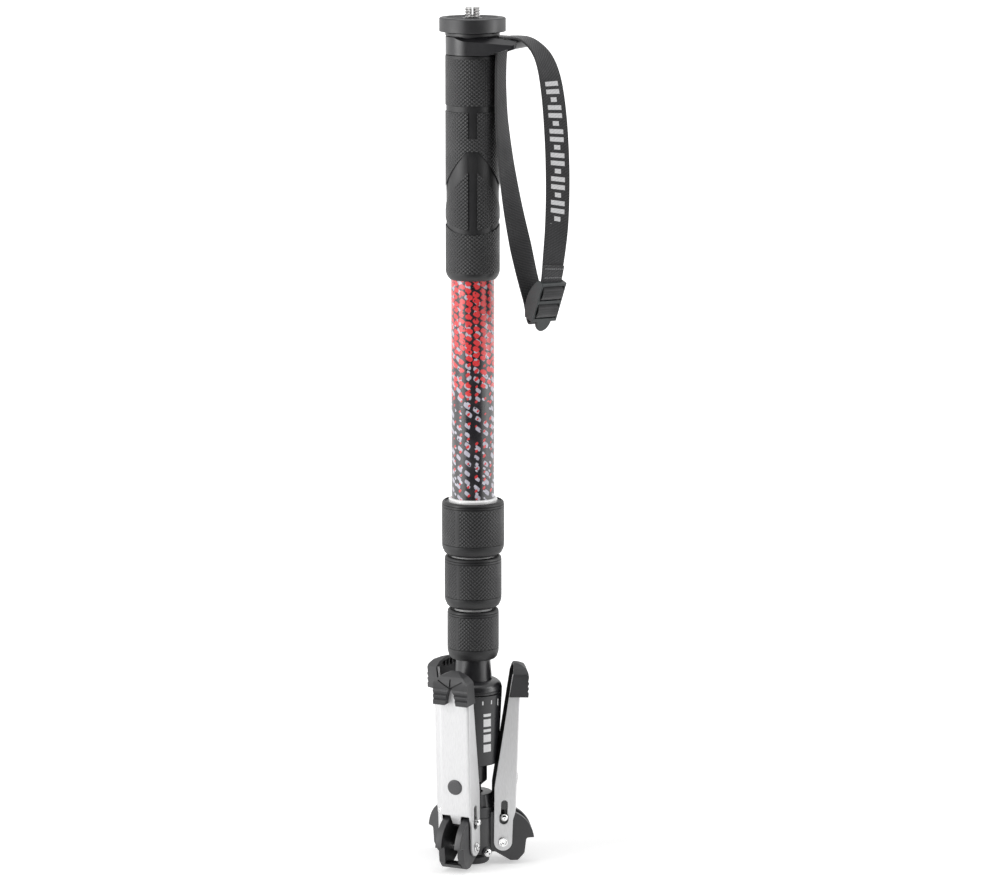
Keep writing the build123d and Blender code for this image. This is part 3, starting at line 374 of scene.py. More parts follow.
def roundPlace(tree, place):
    # the angle round the tube, from the back, its height in millimetres and its radius in millimetres
    do = mathsOf(tree)
    x, y, z = splitUp(tree, place)
    turn = do.angle(x, do.times(y, -1.0))
    radius = do.root(do.plus(do.times(x, x), do.times(y, y)))
    return turn, do.times(z, 1 / mm), do.times(radius, 1 / mm)


def knurlFinish(name, look):
    # raised points in staggered rows, kept off the smooth bands by their height and radius; the points get a
    # painted highlight and the ground between them painted shade
    parts = newFinish(name, look)
    tree = parts.tree
    do = mathsOf(tree)
    turn, height, radius = roundPlace(tree, parts.place)
    across = do.times(turn, look["points"] / (2 * math.pi))
    along = do.over(height, look["pitch"])
    one = do.zigzag(do.plus(across, along), 0.5)
    two = do.zigzag(do.minus(across, along), 0.5)
    point = do.times(do.times(one, two), 4.0)
    mask = do.above(radius, look["minRadius"])
    for top, bottom in look["bands"]:
        inside = do.times(do.below(height, top), do.above(height, bottom))
        mask = do.times(mask, do.minus(1.0, inside))
    if "gaps" in look:   # smooth strips between the flatter sides
        first, spacing, half = look["gaps"]
        toGap = do.zigzag(do.minus(turn, first), spacing / 2)
        mask = do.times(mask, do.above(toGap, half))
    point = do.times(point, mask)
    # the raised points are painted lighter, a painted highlight on their tops
    colour = blendColour(tree, remap(tree, point, 0.25, 0.85), parts.colour, look["pointColour"])
    # the ground between the points is painted darker, painted shade in the hollows
    hollow = do.times(remap(tree, point, 0.0, 0.2, 1.0, 0.0), mask)
    colour = blendColour(tree, do.times(hollow, look["hollow"]), colour, shaded(look["colour"], 0.45))
    if "stripeHalf" in look:   # the recessed stripe down the middle, its colour painted lighter by the stripe share as painted light against the shade in the recess
        near = do.below(do.size(splitUp(tree, parts.place)[0]), look["stripeHalf"] * mm)
        deep = do.below(radius, look["stripeRadius"])
        colour = blendColour(tree, do.times(near, deep), colour, shaded(look["colour"], look["stripeShade"]))
    parts.colour = colour
    parts.height = do.plus(parts.height, do.times(point, look["pointHeight"]))
    return finishUp(parts, look)


def diamondLayer(tree, turn, height, layer):
    # staggered diamonds round the tube, each of its own size, shift and chance of being there
    do = mathsOf(tree)
    curve = 1.35   # 1 gives straight sides, 2 gives an oval
    across = do.times(turn, layer["count"] / (2 * math.pi))
    column = do.wrap(do.whole(across), float(layer["count"]), 0.0)
    odd = do.zigzag(column, 1.0)
    up = do.plus(do.over(height, layer["pitch"]), do.times(odd, 0.5))
    cell = tree.nodes.new("ShaderNodeCombineXYZ")
    tree.links.new(column, cell.inputs[0])
    tree.links.new(do.whole(up), cell.inputs[1])
    cell.inputs[2].default_value = layer["seed"]
    chance = tree.nodes.new("ShaderNodeTexWhiteNoise")
    chance.noise_dimensions = "3D"
    tree.links.new(cell.outputs[0], chance.inputs["Vector"])
    pick = tree.nodes.new("ShaderNodeSeparateColor")
    tree.links.new(chance.outputs["Color"], pick.inputs[0])
    first, second, third = pick.outputs
    fx = do.minus(do.rest(across), do.plus(0.35, do.times(first, 0.3)))
    fy = do.minus(do.rest(up), do.plus(0.35, do.times(second, 0.3)))
    lean = do.plus(fx, do.times(fy, layer["lean"]))
    wide = do.power(do.times(do.size(lean), layer["narrow"]), curve)
    tall = do.power(do.size(fy), curve)
    away = do.power(do.plus(wide, tall), 1 / curve)
    size = do.plus(layer["size"], do.times(third, layer["sizeSpread"]))
    low, high, growth = layer["sizeFrom"]
    size = do.plus(size, remap(tree, height, low, high, 0.0, growth))
    shape = remap(tree, do.minus(size, away), 0.0, 0.05)
    there = do.below(chance.outputs["Value"], remap(tree, height, *layer["chance"]))
    return do.times(shape, there)


def tubePrint(name, look):
    parts = newFinish(name, look)
    do = mathsOf(parts.tree)
    turn, height = roundPlace(parts.tree, parts.place)[:2]
    printed = do.below(height, look["printTop"])
    for layer in look["layers"]:
        motif = do.times(diamondLayer(parts.tree, turn, height, layer), printed)
        parts.colour = blendColour(parts.tree, motif, parts.colour, layer["colour"])
    parts.height = do.times(parts.height, 0.2)
    return finishUp(parts, look)


def webbingFinish(name, look):
    # twill lines on the strap's own map, which counts strap widths across and along
    parts = newFinish(name, look)
    tree, width = parts.tree, look["width"]
    do = mathsOf(tree)
    u, v = splitUp(tree, tree.nodes.new("ShaderNodeUVMap").outputs[0])[:2]
    across, along = do.times(u, width), do.times(v, width)
    slant = do.plus(along, do.times(across, look["slant"]))
    rib = do.times(do.zigzag(do.over(slant, look["pitch"]), 0.5), 2.0)
    yarn = do.times(do.zigzag(do.over(across, look["yarn"]), 0.5), 2.0)
    weave = do.times(rib, do.plus(0.6, do.times(yarn, 0.4)))
    colour = blendColour(tree, weave, shaded(look["colour"], 0.5), shaded(look["colour"], 1.6))
    offMiddle = do.minus(across, width / 2)
    edge = do.size(offMiddle)
    if "marks" in look:   # plain bars and blocks in a row, where the real one is printed
        start, end, pitch = look["marks"]
        half = look["markHalf"]
        fromStart = do.minus(along, start)
        share = do.minus(do.rest(do.over(fromStart, pitch)), do.times(offMiddle, look["markSlant"]))
        bar = do.below(do.size(do.minus(share, 0.5)), look["markShare"])
        third = do.rest(do.over(fromStart, pitch * 3))   # every third mark is a short block
        reach = do.plus(half * 0.45, do.times(do.below(third, 0.6667), half * 0.55))
        for limit in (do.below(edge, reach), do.above(along, start), do.below(along, end)):
            bar = do.times(bar, limit)
        colour = blendColour(tree, bar, colour,
                             blendColour(tree, weave, shaded(look["markColour"], 0.8), look["markColour"]))
    # the outer edges of the band are painted darker, painted shade where the edges turn away
    selvedge = do.above(edge, width / 2 - look["selvedge"])
    parts.colour = blendColour(tree, do.times(selvedge, 0.4), colour, shaded(look["colour"], 0.5))
    parts.height = do.plus(parts.height, weave)
    return finishUp(parts, look)


finishLooks = {
    "steel": {"colour": (0.7, 0.69, 0.67), "metallic": 0.8, "roughness": 0.36, "grain": 1800,
              "bumpDepth": 0.02, "dark": 0.8},
    "satin": {"colour": (0.95, 0.95, 0.95), "metallic": 0.2, "roughness": 0.4, "grain": 1500,
              "roughSpread": 0.05, "bumpDepth": 0.01, "dark": 0.96, "light": 1.03, "cloudShare": 0.05},
    "threadSteel": {"colour": (0.46, 0.455, 0.45), "metallic": 0.85, "roughness": 0.38, "grain": 1800,
                    "bumpDepth": 0.02},
    "chrome": {"colour": (0.88, 0.88, 0.88), "metallic": 1, "roughness": 0.12, "grain": 900,
               "roughSpread": 0.04, "bumpDepth": 0.01},
    "legAluminium": {"colour": (0.76, 0.76, 0.765), "metallic": 0.45, "roughness": 0.4, "grain": 3200,
                     "drawn": 0.09, "roughSpread": 0.05, "bumpDepth": 0.008, "dark": 0.94, "light": 1.04,
                     "cloudShare": 0.12, "cloudColour": (0.74, 0.74, 0.75), "inside": (0.03, 0.03, 0.032)},
    "headPlastic": {"colour": (0.024, 0.024, 0.026), "roughness": 0.48, "grain": 2400, "specular": 0.8},
    "collarPlastic": {"colour": (0.017, 0.017, 0.019), "roughness": 0.34, "grain": 2000, "bumpDepth": 0.03,
                      "specular": 0.7},
    "tubeBlack": {"colour": (0.02, 0.02, 0.022), "roughness": 0.3, "grain": 1200, "bumpDepth": 0.015,
                  "specular": 0.8},
    "basePlastic": {"colour": (0.024, 0.024, 0.026), "roughness": 0.44, "grain": 2200, "specular": 0.75},
    "padRubber": {"colour": (0.026, 0.026, 0.028), "roughness": 0.55, "grain": 1700, "bumpDepth": 0.07,
                  "specular": 0.7},
    "bucklePlastic": {"colour": (0.042, 0.047, 0.048), "roughness": 0.42, "grain": 1300, "bumpDepth": 0.02,
                      "specular": 0.4},
    "innerPlastic": {"colour": (0.05, 0.05, 0.053), "roughness": 0.5, "grain": 1600},
    "plugPlastic": {"colour": (0.085, 0.085, 0.088), "roughness": 0.45, "grain": 1500, "bumpDepth": 0.03},
}
finishes = {name: plainFinish(name, look) for name, look in finishLooks.items()}
print("plain finishes made:", len(finishes))


# camera, light and floor, in metres

studio = {
    "camera": (0.0165, -2.6, 0.2024), "pitch": 80.0, "lens": 155.8, "sensor": 36, "nearest": 0.05,
    "farthest": 100, "worldLight": 0.5, "floorLevel": -0.5231, "floorSize": 60.0, "floorGrey": 0.82,
    "floorGlow": (0.3, 1.0, 0.42, 1.0),   # the glow grows between two distances, from one strength to another
    "aim": (0, 0, -0.25),
    "lamps": [   # place, width, height, watts
        ((-2.0, -1.0, 0.45), 1.1, 2.2, 34), ((2.1, -0.3, 0.35), 0.7, 2.0, 16),
        ((0.0, -0.6, 2.6), 1.6, 1.2, 12),
    ],
    "card": (0.06, -0.32, -0.02), "cardSize": (0.6, 1.0), "cardGrey": 0.02,
}
bpy.ops.object.camera_add(location=studio["camera"], rotation=(math.radians(studio["pitch"]), 0, 0))
camera = bpy.context.object
camera.data.lens = studio["lens"]
camera.data.sensor_width = studio["sensor"]
camera.data.clip_start = studio["nearest"]
camera.data.clip_end = studio["farthest"]
bpy.context.scene.camera = camera


def seenRays(tree):
    # 1 for rays from the camera, and for those that gloss and glass send on
    path = tree.nodes.new("ShaderNodeLightPath")
    do = mathsOf(tree)
    seen = do.most(path.outputs["Is Camera Ray"], path.outputs["Is Glossy Ray"])
    return do.most(seen, path.outputs["Is Transmission Ray"])


def stagePaper(name, grey):
    # dull paper for the pieces of the stage
    paper = bpy.data.materials.new(name)
    paper.use_nodes = True
    shader = paper.node_tree.nodes["Principled BSDF"]
    shader.inputs["Base Color"].default_value = (grey, grey, grey, 1)
    shader.inputs["Roughness"].default_value = 0.9
    shader.inputs["Specular IOR Level"].default_value = 0.1
    return paper, paper.node_tree, shader


world = bpy.data.worlds.new("studioWorld")
world.use_nodes = True
bpy.context.scene.world = world
skyTree = world.node_tree
sky = skyTree.nodes["Background"]
sky.inputs["Color"].default_value = (1, 1, 1, 1)
skyTree.links.new(remap(skyTree, seenRays(skyTree), 0, 1, studio["worldLight"], 1.0), sky.inputs["Strength"])

for number, (place, width, height, watts) in enumerate(studio["lamps"]):
    aim = (Vector(studio["aim"]) - Vector(place)).to_track_quat("-Z", "Y").to_euler()
    bpy.ops.object.light_add(type="AREA", location=place, rotation=aim)
    lamp = bpy.context.object
    lamp.name = f"softLamp{number}"
    lamp.data.shape = "RECTANGLE"
    lamp.data.size, lamp.data.size_y = width, height
    lamp.data.energy = watts

bpy.ops.mesh.primitive_plane_add(size=studio["floorSize"], location=(0, 0, studio["floorLevel"]))
floor = bpy.context.object
floor.name = "studioFloor"
paper, paperTree, paperShader = stagePaper("floorPaper", studio["floorGrey"])
paperShader.inputs["Emission Color"].default_value = (1, 1, 1, 1)
away = paperTree.nodes.new("ShaderNodeVectorMath")
away.operation = "LENGTH"
paperTree.links.new(paperTree.nodes.new("ShaderNodeTexCoord").outputs["Object"], away.inputs[0])
glow = remap(paperTree, away.outputs["Value"], *studio["floorGlow"])
glow = mathStep(paperTree, "MULTIPLY", glow, seenRays(paperTree))
paperTree.links.new(glow, paperShader.inputs["Emission Strength"])
floor.data.materials.append(paper)
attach(floor, "section_4")   # it goes down as the tubes are pulled out

# a dark card before the object, seen by reflections alone
bpy.ops.mesh.primitive_plane_add(size=1, location=studio["card"], rotation=(math.radians(90), 0, 0))
card = bpy.context.object
card.name = "studioCard"
card.scale = (*studio["cardSize"], 1)
card.data.materials.append(stagePaper("cardBlack", studio["cardGrey"])[0])
card.visible_camera = card.visible_diffuse = card.visible_shadow = card.visible_transmission = False
print("camera, light and floor placed")


# wrist strap: one band of webbing along a smooth route

strap = {
    "route": [(20.4, -9.5, -11.3), (25.4, -11.8, -10.9), (31.4, -14.6, -11.4), (38.2, -16.2, -16.4),
              (43.8, -16.8, -25.0), (47.4, -16.6, -39.0), (49.9, -16.0, -62.0), (51.3, -15.4, -92.0),
              (50.9, -15.6, -122.0), (48.9, -16.0, -143.0), (47.3, -15.6, -156.5), (45.2, -13.6, -167.0),
              (43.4, -11.7, -176.5), (41.4, -9.4, -183.6), (38.9, -6.4, -184.3), (37.8, -5.4, -177.6),
              (36.6, -6.2, -169.6), (33.4, -8.0, -158.0), (29.0, -9.6, -138.0), (23.9, -10.2, -113.0),
              (19.9, -9.3, -86.0), (17.2, -8.1, -60.0), (16.8, -7.9, -40.0), (17.0, -7.9, -27.0),
              (17.6, -8.2, -18.5), (19.0, -8.9, -13.2)],
    "turns": [65, 65, 62, 55, 42, 28, 18, 15, 18, 28, 38, 38, 38, 38, 38, 38, 38, 36, 30, 42, 54, 62, 66, 66,
              65,               65],   # the turn of its width at each point of the route, in degrees
    "length": 0.368, "exit": (0.0204, -0.0095, -0.0113),   # in metres
    "width": 15.0, "thickness": 1.3, "spots": 13, "edgeStart": 0.85, "edgeInset": 0.975, "edgeThin": 0.82,
    "sewnFoot": -166.5, "sewnTop": -147.5, "overlapWidth": 14.775, "overlapThickness": 1.1,
    "overlapLift": 1.2, "stitchRows": (2, 8), "stitches": 9, "stitchPitch": 1.5, "stitchHalf": 0.5,
    "stitchRadius": 0.24, "stitchLift": 1.85,
    "look": {"colour": (0.024, 0.024, 0.026), "roughness": 0.7, "grain": 2600, "width": 15.0, "pitch": 1.8,
             # the edge width sets how far the painted shade along each edge reaches
             "slant": 0.6, "yarn": 1.9, "bump": 0.8, "bumpDepth": 0.2, "sheen": 0.25, "selvedge": 0.9},
    "marks": {"marks": (42.0, 129.0, 4.8), "markShare": 0.29, "markHalf": 4.3, "markSlant": 0.03,
              "markColour": (0.74, 0.74, 0.75)},
    # a lighter copy of the webbing colour, painted light for the buckle's humps and the sewn overlap
    "foldColour": (0.032, 0.032, 0.034),
    "thread": {"colour": (0.3, 0.3, 0.31), "roughness": 0.7, "grain": 3000},
}
webbing = webbingFinish("strapWebbing", strap["look"] | strap["marks"])
# the webbing without marks is painted lighter than the strap, painted light on the humps and the overlap
plainLitWebbing = webbingFinish("foldWebbing", strap["look"] | {"colour": strap["foldColour"]})

bpy.ops.object.select_all(action="DESELECT")
routeData = bpy.data.curves.new("strapRoute", "CURVE")
routeData.dimensions = "3D"
routeData.resolution_u = 14
spline = routeData.splines.new("NURBS")
spline.points.add(len(strap["route"]) - 1)
for point, place in zip(spline.points, strap["route"]):
    point.co = (*[part * mm for part in place], 1)
spline.order_u = 3
spline.use_endpoint_u = True
routeObject = bpy.data.objects.new("strapRoute", routeData)
bpy.context.scene.collection.objects.link(routeObject)
routeLine = [vertex.co.copy() for vertex in bpy.data.meshes.new_from_object(routeObject).vertices]
bpy.data.objects.remove(routeObject)


def bandFrames(line, turns):
    # centre, width direction and face direction at each point of the route
    frames = []
    for i, place in enumerate(line):
        tangent = (line[min(i + 1, len(line) - 1)] - line[max(i - 1, 0)]).normalized()
        at = min(max(i / (len(line) - 1) * (len(turns) - 2) + 0.5, 0), len(turns) - 1)
        low = min(int(at), len(turns) - 2)
        turn = math.radians(turns[low] + (turns[low + 1] - turns[low]) * (at - low))
        across = Vector((math.cos(turn), math.sin(turn), 0))
        across = (across - tangent * across.dot(tangent)).normalized()
        frames.append((place, across, tangent.cross(across)))
    return frames


def bandMesh(name, frames, width, thickness, lift=0.0):
    # a closed band with thinner edges, and a map that counts widths across and along
    half, thick = width / 2 * mm, thickness / 2 * mm
    spots = [-1 + 2 * k / (strap["spots"] - 1) for k in range(strap["spots"])]
    section = [(spot * half * strap["edgeInset"],
                thick * (strap["edgeThin"] if abs(spot) > strap["edgeStart"] else 1))
               for spot in spots]
    section = section + [(half, 0)] + [(u, -v) for u, v in reversed(section)] + [(-half, 0)]
    points, faces, along, lengths = [], [], 0.0, []
    for i, (place, across, face) in enumerate(frames):
        if i:
            along += (place - frames[i - 1][0]).length
        lengths.append(along)
        points += [place + across * u + face * (v + lift * mm) for u, v in section]
    count = len(section)
    for i in range(len(frames) - 1):
        for k in range(count):
            a, b = i * count + k, i * count + (k + 1) % count
            faces.append((a, b, b + count, a + count))
    faces.append(tuple(range(count - 1, -1, -1)))
    faces.append(tuple(len(points) - count + k for k in range(count)))
    mesh = bpy.data.meshes.new(name)
    mesh.from_pydata(points, [], faces)
    layer = mesh.uv_layers.new(name="strapMap")
    farOff = 100   # the inner side's map lies past the last mark, so that the marks stay on the outer side
    for polygon in mesh.polygons:
        rings = [divmod(index, count) for index in polygon.vertices]
        behind = farOff if all(k >= len(spots) for row, k in rings) else 0
        for loop, (row, k) in zip(polygon.loop_indices, rings):
            layer.data[loop].uv = (section[k][0] / (width * mm) + 0.5, lengths[row] / (width * mm) + behind)
    obj = bpy.data.objects.new(name, mesh)
    bpy.context.scene.collection.objects.link(obj)
    startEdit(obj)
    endEdit(0)
    return obj


strapFrames = bandFrames(routeLine, strap["turns"])
wristStrap = bandMesh("wristStrap", strapFrames, strap["width"], strap["thickness"])
settled(wristStrap, "strap_collar", webbing, ["wrist_strap"], 50)
lowest = min(range(len(routeLine)), key=lambda i: routeLine[i].z)
sewnFrames = [f for f in strapFrames[:lowest] if strap["sewnFoot"] * mm < f[0].z < strap["sewnTop"] * mm]
strapOverlap = bandMesh("strapOverlap", sewnFrames, strap["overlapWidth"], strap["overlapThickness"],
                        strap["overlapLift"])
settled(strapOverlap, "strap_collar", plainLitWebbing, (), 50)
stitches = []
for row in strap["stitchRows"]:
    place, across, face = sewnFrames[row]
    for k in range(strap["stitches"]):
        shift = (k - (strap["stitches"] - 1) / 2) * strap["stitchPitch"]
        spot = place + across * (shift * mm) + face * strap["stitchLift"] * mm
        reach = across * strap["stitchHalf"]
        stitches.append(rod("stitch", spot / mm - reach, spot / mm + reach, strap["stitchRadius"], 8))
strapStitches = joined(stitches, "strapStitches")
settled(strapStitches, "strap_collar", plainFinish("sewingThread", strap["thread"]))
print("strap laid:", round(sum((b - a).length for a, b in zip(routeLine, routeLine[1:])), 4), "m")


# ladder buckle: a frame with two windows, deep curved flanks and a rounded tongue

buckle = {"place": (45.8, -14.5, -170.5), "turn": 38.0, "lean": 15.0, "length": 26.0, "width": 19.0,
          "window": 16.2, "bar": 2.2, "barDepth": 2.2, "face": 0.9, "topDepth": 5.0, "bellyDepth": 10.5,
          "footDepth": 7.5, "tongue": 7.0, "tongueWidth": 11.0, "tongueThick": 2.0, "tongueSink": 0.4,
          "humpFront": 1.7, "humpDepth": 6.4, "humpSpread": 0.6, "humpThick": 1.2, "humpHalf": 7.4}
halfLength, halfWidth, halfWindow = buckle["length"] / 2, buckle["width"] / 2, buckle["window"] / 2
front = -buckle["face"]


def flankDepth(up):
    # a smooth curve through the depths at the foot, at a third of the way up and at the top
    levels = [-halfLength, -halfLength / 3, halfLength]
    depths = [buckle["footDepth"], buckle["bellyDepth"], buckle["topDepth"]]
    total = 0
    for i, (level, depth) in enumerate(zip(levels, depths)):
        a, b = [other for k, other in enumerate(levels) if k != i]
        total += depth * (up - a) * (up - b) / ((level - a) * (level - b))
    return total


flank = [(front, halfLength), (front, -halfLength)]
flank += [(front + flankDepth(up), up) for up in [-halfLength + k / 12 * buckle["length"] for k in range(13)]]
strapBuckle = slab("strapBuckle", flank, "x", -halfWidth, halfWidth)
combine(strapBuckle, block("cut", (-halfWindow, front + buckle["barDepth"], -halfLength - 3),
                           (halfWindow, 30, halfLength + 3)))
window = (buckle["length"] - 3 * buckle["bar"]) / 2
windowMiddles = [side * (buckle["bar"] + window) / 2 for side in (1, -1)]
for middle in windowMiddles:
    combine(strapBuckle, block("cut", (-halfWindow, -5, middle - window / 2),
                               (halfWindow, 30, middle + window / 2)))
tongueTop = -halfLength + buckle["tongueSink"]
tongue = [(buckle["tongueWidth"] / 2 * math.cos(a), tongueTop - buckle["tongue"] * math.sin(a))
          for a in arcPoints(0, 180, 14)]
combine(strapBuckle, slab("tongue", tongue, "y", front, front + buckle["tongueThick"]), "UNION")
cleaned(strapBuckle)
eased(strapBuckle, 0.45, 3, 30)

widthTurn, lean = math.radians(buckle["turn"]), math.radians(buckle["lean"])
widthLine = Vector((math.cos(widthTurn), math.sin(widthTurn), 0))
buckleUp = Vector((math.sin(lean), -math.sin(lean), math.cos(lean))).normalized()
buckleAcross = (widthLine - buckleUp * widthLine.dot(buckleUp)).normalized()
buckleOut = buckleAcross.cross(buckleUp).normalized()
buckleMatrix = Matrix((buckleAcross, -buckleOut, buckleUp)).transposed().to_4x4()
buckleMatrix.translation = Vector(buckle["place"]) * mm
strapBuckle.matrix_world = buckleMatrix
settled(strapBuckle, "strap_collar", finishes["bucklePlastic"], ["strap_buckle"])

humps = []
for middle in windowMiddles:   # the webbing bulges through each window
    arc = [(front - buckle["humpFront"] + buckle["humpDepth"] * (1 - math.cos(a)),
            middle + (window / 2 + buckle["humpSpread"]) * math.sin(a)) for a in arcPoints(-80, 80, 16)]
    inner = [(y + buckle["humpThick"], z * 0.97 + middle * 0.03) for y, z in reversed(arc)]
    humps.append(slab("hump", arc + inner, "x", -buckle["humpHalf"], buckle["humpHalf"]))
buckleWebbing = joined(humps, "buckleWebbing")
mapLayer = buckleWebbing.data.uv_layers.new(name="strapMap")
for loop in buckleWebbing.data.loops:
    x, y, z = buckleWebbing.data.vertices[loop.vertex_index].co / mm
    mapLayer.data[loop.index].uv = (x / strap["width"] + 0.5, z / strap["width"])
buckleWebbing.matrix_world = buckleMatrix
settled(buckleWebbing, "strap_collar", plainLitWebbing, (), 60)
print("buckle built")


# camera screw with its thread, the plate and the pad

screw = {"radius": 4.7625, "stand": 5.9, "seat": -0.3, "tip": 0.5, "rings": 37, "ringStep": 0.155,
         "inset": 0.02, "pitch": 1.5875, "depth": 0.75, "crest": 1.35, "runOut": 0.25, "fade": 0.5,
         "slotWidth": 0.9, "slotDepth": 4.6, "collar": 6.2, "foot": -10.1, "dish": (5.2, 5.0, 4.0),
         "dishDepth": 0.12}
screwSeat, screwCollarRadius = screw["seat"], screw["collar"]
rings = [(screw["radius"] - screw["inset"], screwSeat + screw["inset"] + k * screw["ringStep"])
         for k in range(screw["rings"])]
cameraScrew = turned("cameraScrew", rings + [(screw["radius"] - screw["tip"], screw["stand"])], 64)
for vertex in cameraScrew.data.vertices:   # the thread, worked into the plain bar
    x, y, z = vertex.co / mm
    turn = math.atan2(y, x)
    share = abs(((z / screw["pitch"] - turn / (2 * math.pi)) % 1) * 2 - 1)
    fade = min(max((screw["stand"] - screw["runOut"] - z) / screw["fade"], 0), 1)
    radius = math.hypot(x, y) - screw["depth"] * min(share * screw["crest"], 1) * fade
    vertex.co.x, vertex.co.y = radius * mm * math.cos(turn), radius * mm * math.sin(turn)
combine(cameraScrew, block("cut", (-screw["slotWidth"] / 2, -8, screw["stand"] - screw["slotDepth"]),
                           (screw["slotWidth"] / 2, 8, 9)))
settled(cameraScrew, "upper", finishes["threadSteel"], ["camera_screw"], 40)
dishOuter, dishInner, dishEnd = screw["dish"]
screwCollar = turned("screwCollar", [
    (screwCollarRadius - 0.4, screw["foot"]), (screwCollarRadius, screw["foot"] + 0.4),
    (screwCollarRadius, screwSeat - 0.3), (screwCollarRadius - 0.3, screwSeat), (dishOuter, screwSeat),
    (dishInner, screwSeat - screw["dishDepth"]), (dishEnd, screwSeat - screw["dishDepth"])])
settled(screwCollar, "upper", finishes["tubeBlack"])

plate = {"radius": 20.05, "height": 8.4, "sink": 15.6, "depth": 1.2, "bore": 6.2, "topEdge": 0.6,
         "lowEdge": (0.1, 0.3)}
lowIn, lowUp = plate["lowEdge"]
cameraPlate = turned("cameraPlate", [
    (plate["bore"], -plate["height"]), (plate["radius"] - lowIn, -plate["height"]),
    (plate["radius"], -plate["height"] + lowUp), (plate["radius"], -plate["topEdge"]),
    (plate["radius"] - plate["topEdge"], 0), (plate["sink"], 0), (plate["sink"], -plate["depth"]),
    (plate["bore"], -plate["depth"])], 128, True)
eased(cameraPlate, 0.35, 3, 30)
settled(cameraPlate, "upper", finishes["headPlastic"], ["camera_plate"])

ridged = {"inner": 6.27, "outer": 15.53, "foot": -1.2, "top": -0.4, "rings": 14, "first": 15.3, "pitch": 0.64,
          "crest": -0.3, "hollow": -0.42, "crestWidth": 0.28, "slope": 0.06, "hollowWidth": 0.24}
ridges = [(ridged["inner"], ridged["foot"]), (ridged["outer"], ridged["foot"]),
          (ridged["outer"], ridged["top"])]
for k in range(ridged["rings"]):   # fine rings moulded in the pad
    edge = ridged["first"] - k * ridged["pitch"]
    crestEnd = edge - ridged["crestWidth"]
    ridges += [(edge, ridged["crest"]), (crestEnd, ridged["crest"]),
               (crestEnd - ridged["slope"], ridged["hollow"]),
               (crestEnd - ridged["slope"] - ridged["hollowWidth"], ridged["hollow"])]
platePad = turned("platePad", ridges + [(ridged["inner"], ridged["top"])], 96, True)
settled(platePad, "upper", finishes["padRubber"], ["plate_pad"], 25)

plug = {"neck": 16.4, "top": -8.4, "bottom": -11.0, "rim": 0.9, "seat": 14.0, "gripTop": -22.2, "tube": 12.03,
        "tail": -37.2, "recess": 6.3, "recessFloor": -10.1, "bore": 3.0}
headPlug = turned("headPlug", [
    (plug["recess"], plug["recessFloor"]), (plug["recess"], plug["top"]),
    (plug["neck"] - plug["rim"], plug["top"]), (plug["neck"] - plug["rim"], plug["top"] - 0.5),
    (plug["neck"], plug["top"] - 0.7), (plug["neck"], plug["bottom"] + 0.5),
    (plug["neck"] - 0.5, plug["bottom"]), (plug["seat"], plug["bottom"]), (plug["seat"], plug["gripTop"]),
    (plug["tube"], plug["gripTop"]), (plug["tube"], plug["tail"]), (plug["bore"], plug["tail"]),
    (plug["bore"], plug["recessFloor"])], 96, True)
settled(headPlug, "upper", finishes["headPlastic"], ["head_plug"])
print("screw, plate and head built")


# strap collar: a ring whose arm ends in a slot for the strap

collar = {"bore": 14.07, "wall": 2.2, "top": -11.3, "height": 10.6, "azimuth": -25.0, "reach": 32.6,
          "endHalf": 9.9, "endHeight": 5.6, "endDrop": 0.8, "endFlat": 4.5, "slotHalf": 8.1,
          "slotStart": 18.0, "bar": 5.6, "planRadii": (0, 0, 3.2, 3.2, 0, 0),
          "sideRadii": (0, 6, 2.2, 1.6, 9, 6, 0), "facetStart": (-8.0, -16.3, -11.3),
          "facetFacing": (0.174, -0.625, 0.761)}
collarRadius = collar["bore"] + collar["wall"]
low, reach, endHalf = collar["top"] - collar["height"], collar["reach"], collar["endHalf"]
endTop = collar["top"] - collar["endDrop"]
endFoot = endTop - collar["endHeight"]
spread = math.atan2(endHalf, reach)   # the arm leaves the ring at a tangent
spread += math.acos(collarRadius / math.hypot(endHalf, reach))
touch = (collarRadius * math.cos(spread), collarRadius * math.sin(spread))
plan = roundCorners([(0, -touch[1]), (touch[0], -touch[1]), (reach, -endHalf), (reach, endHalf), touch,
                     (0, touch[1])], collar["planRadii"], 6)
strapCollar = slab("strapCollar", plan, "z", low, collar["top"])
fromSide = roundCorners([(0, collar["top"]), (collarRadius, collar["top"]), (reach, endTop), (reach, endFoot),
                         (reach - collar["endFlat"], endFoot), (collarRadius - 1, low), (0, low)],
                        collar["sideRadii"], 6)
combine(strapCollar, slab("fromSide", fromSide, "y", -30, 30), "INTERSECT")
combine(strapCollar, rod("ring", (0, 0, low), (0, 0, collar["top"]), collarRadius, 160), "UNION")
combine(strapCollar, rod("bore", (0, 0, low - 2), (0, 0, collar["top"] + 2), collar["bore"], 128))
combine(strapCollar, block("slot", (collar["slotStart"], -collar["slotHalf"], low - 2),
                           (reach - collar["bar"], collar["slotHalf"], collar["top"] + 2)))
facet = block("facet", (-60, -60, 0), (60, 60, 40))   # a slanted facet that widens towards the arm's end
facet.rotation_euler = facing(collar["facetFacing"])
facet.location = Vector(collar["facetStart"]) * mm
combine(strapCollar, facet)
cleaned(strapCollar)
eased(strapCollar, 0.5, 3, 28)
moved(strapCollar, (0, 0, 0), (0, 0, collar["azimuth"]))
settled(strapCollar, "strap_collar", finishes["collarPlastic"], ["strap_collar"])
print("collar built")


# hand grip: knurled rubber with a groove, a recess, an arch, a stripe and a lower band

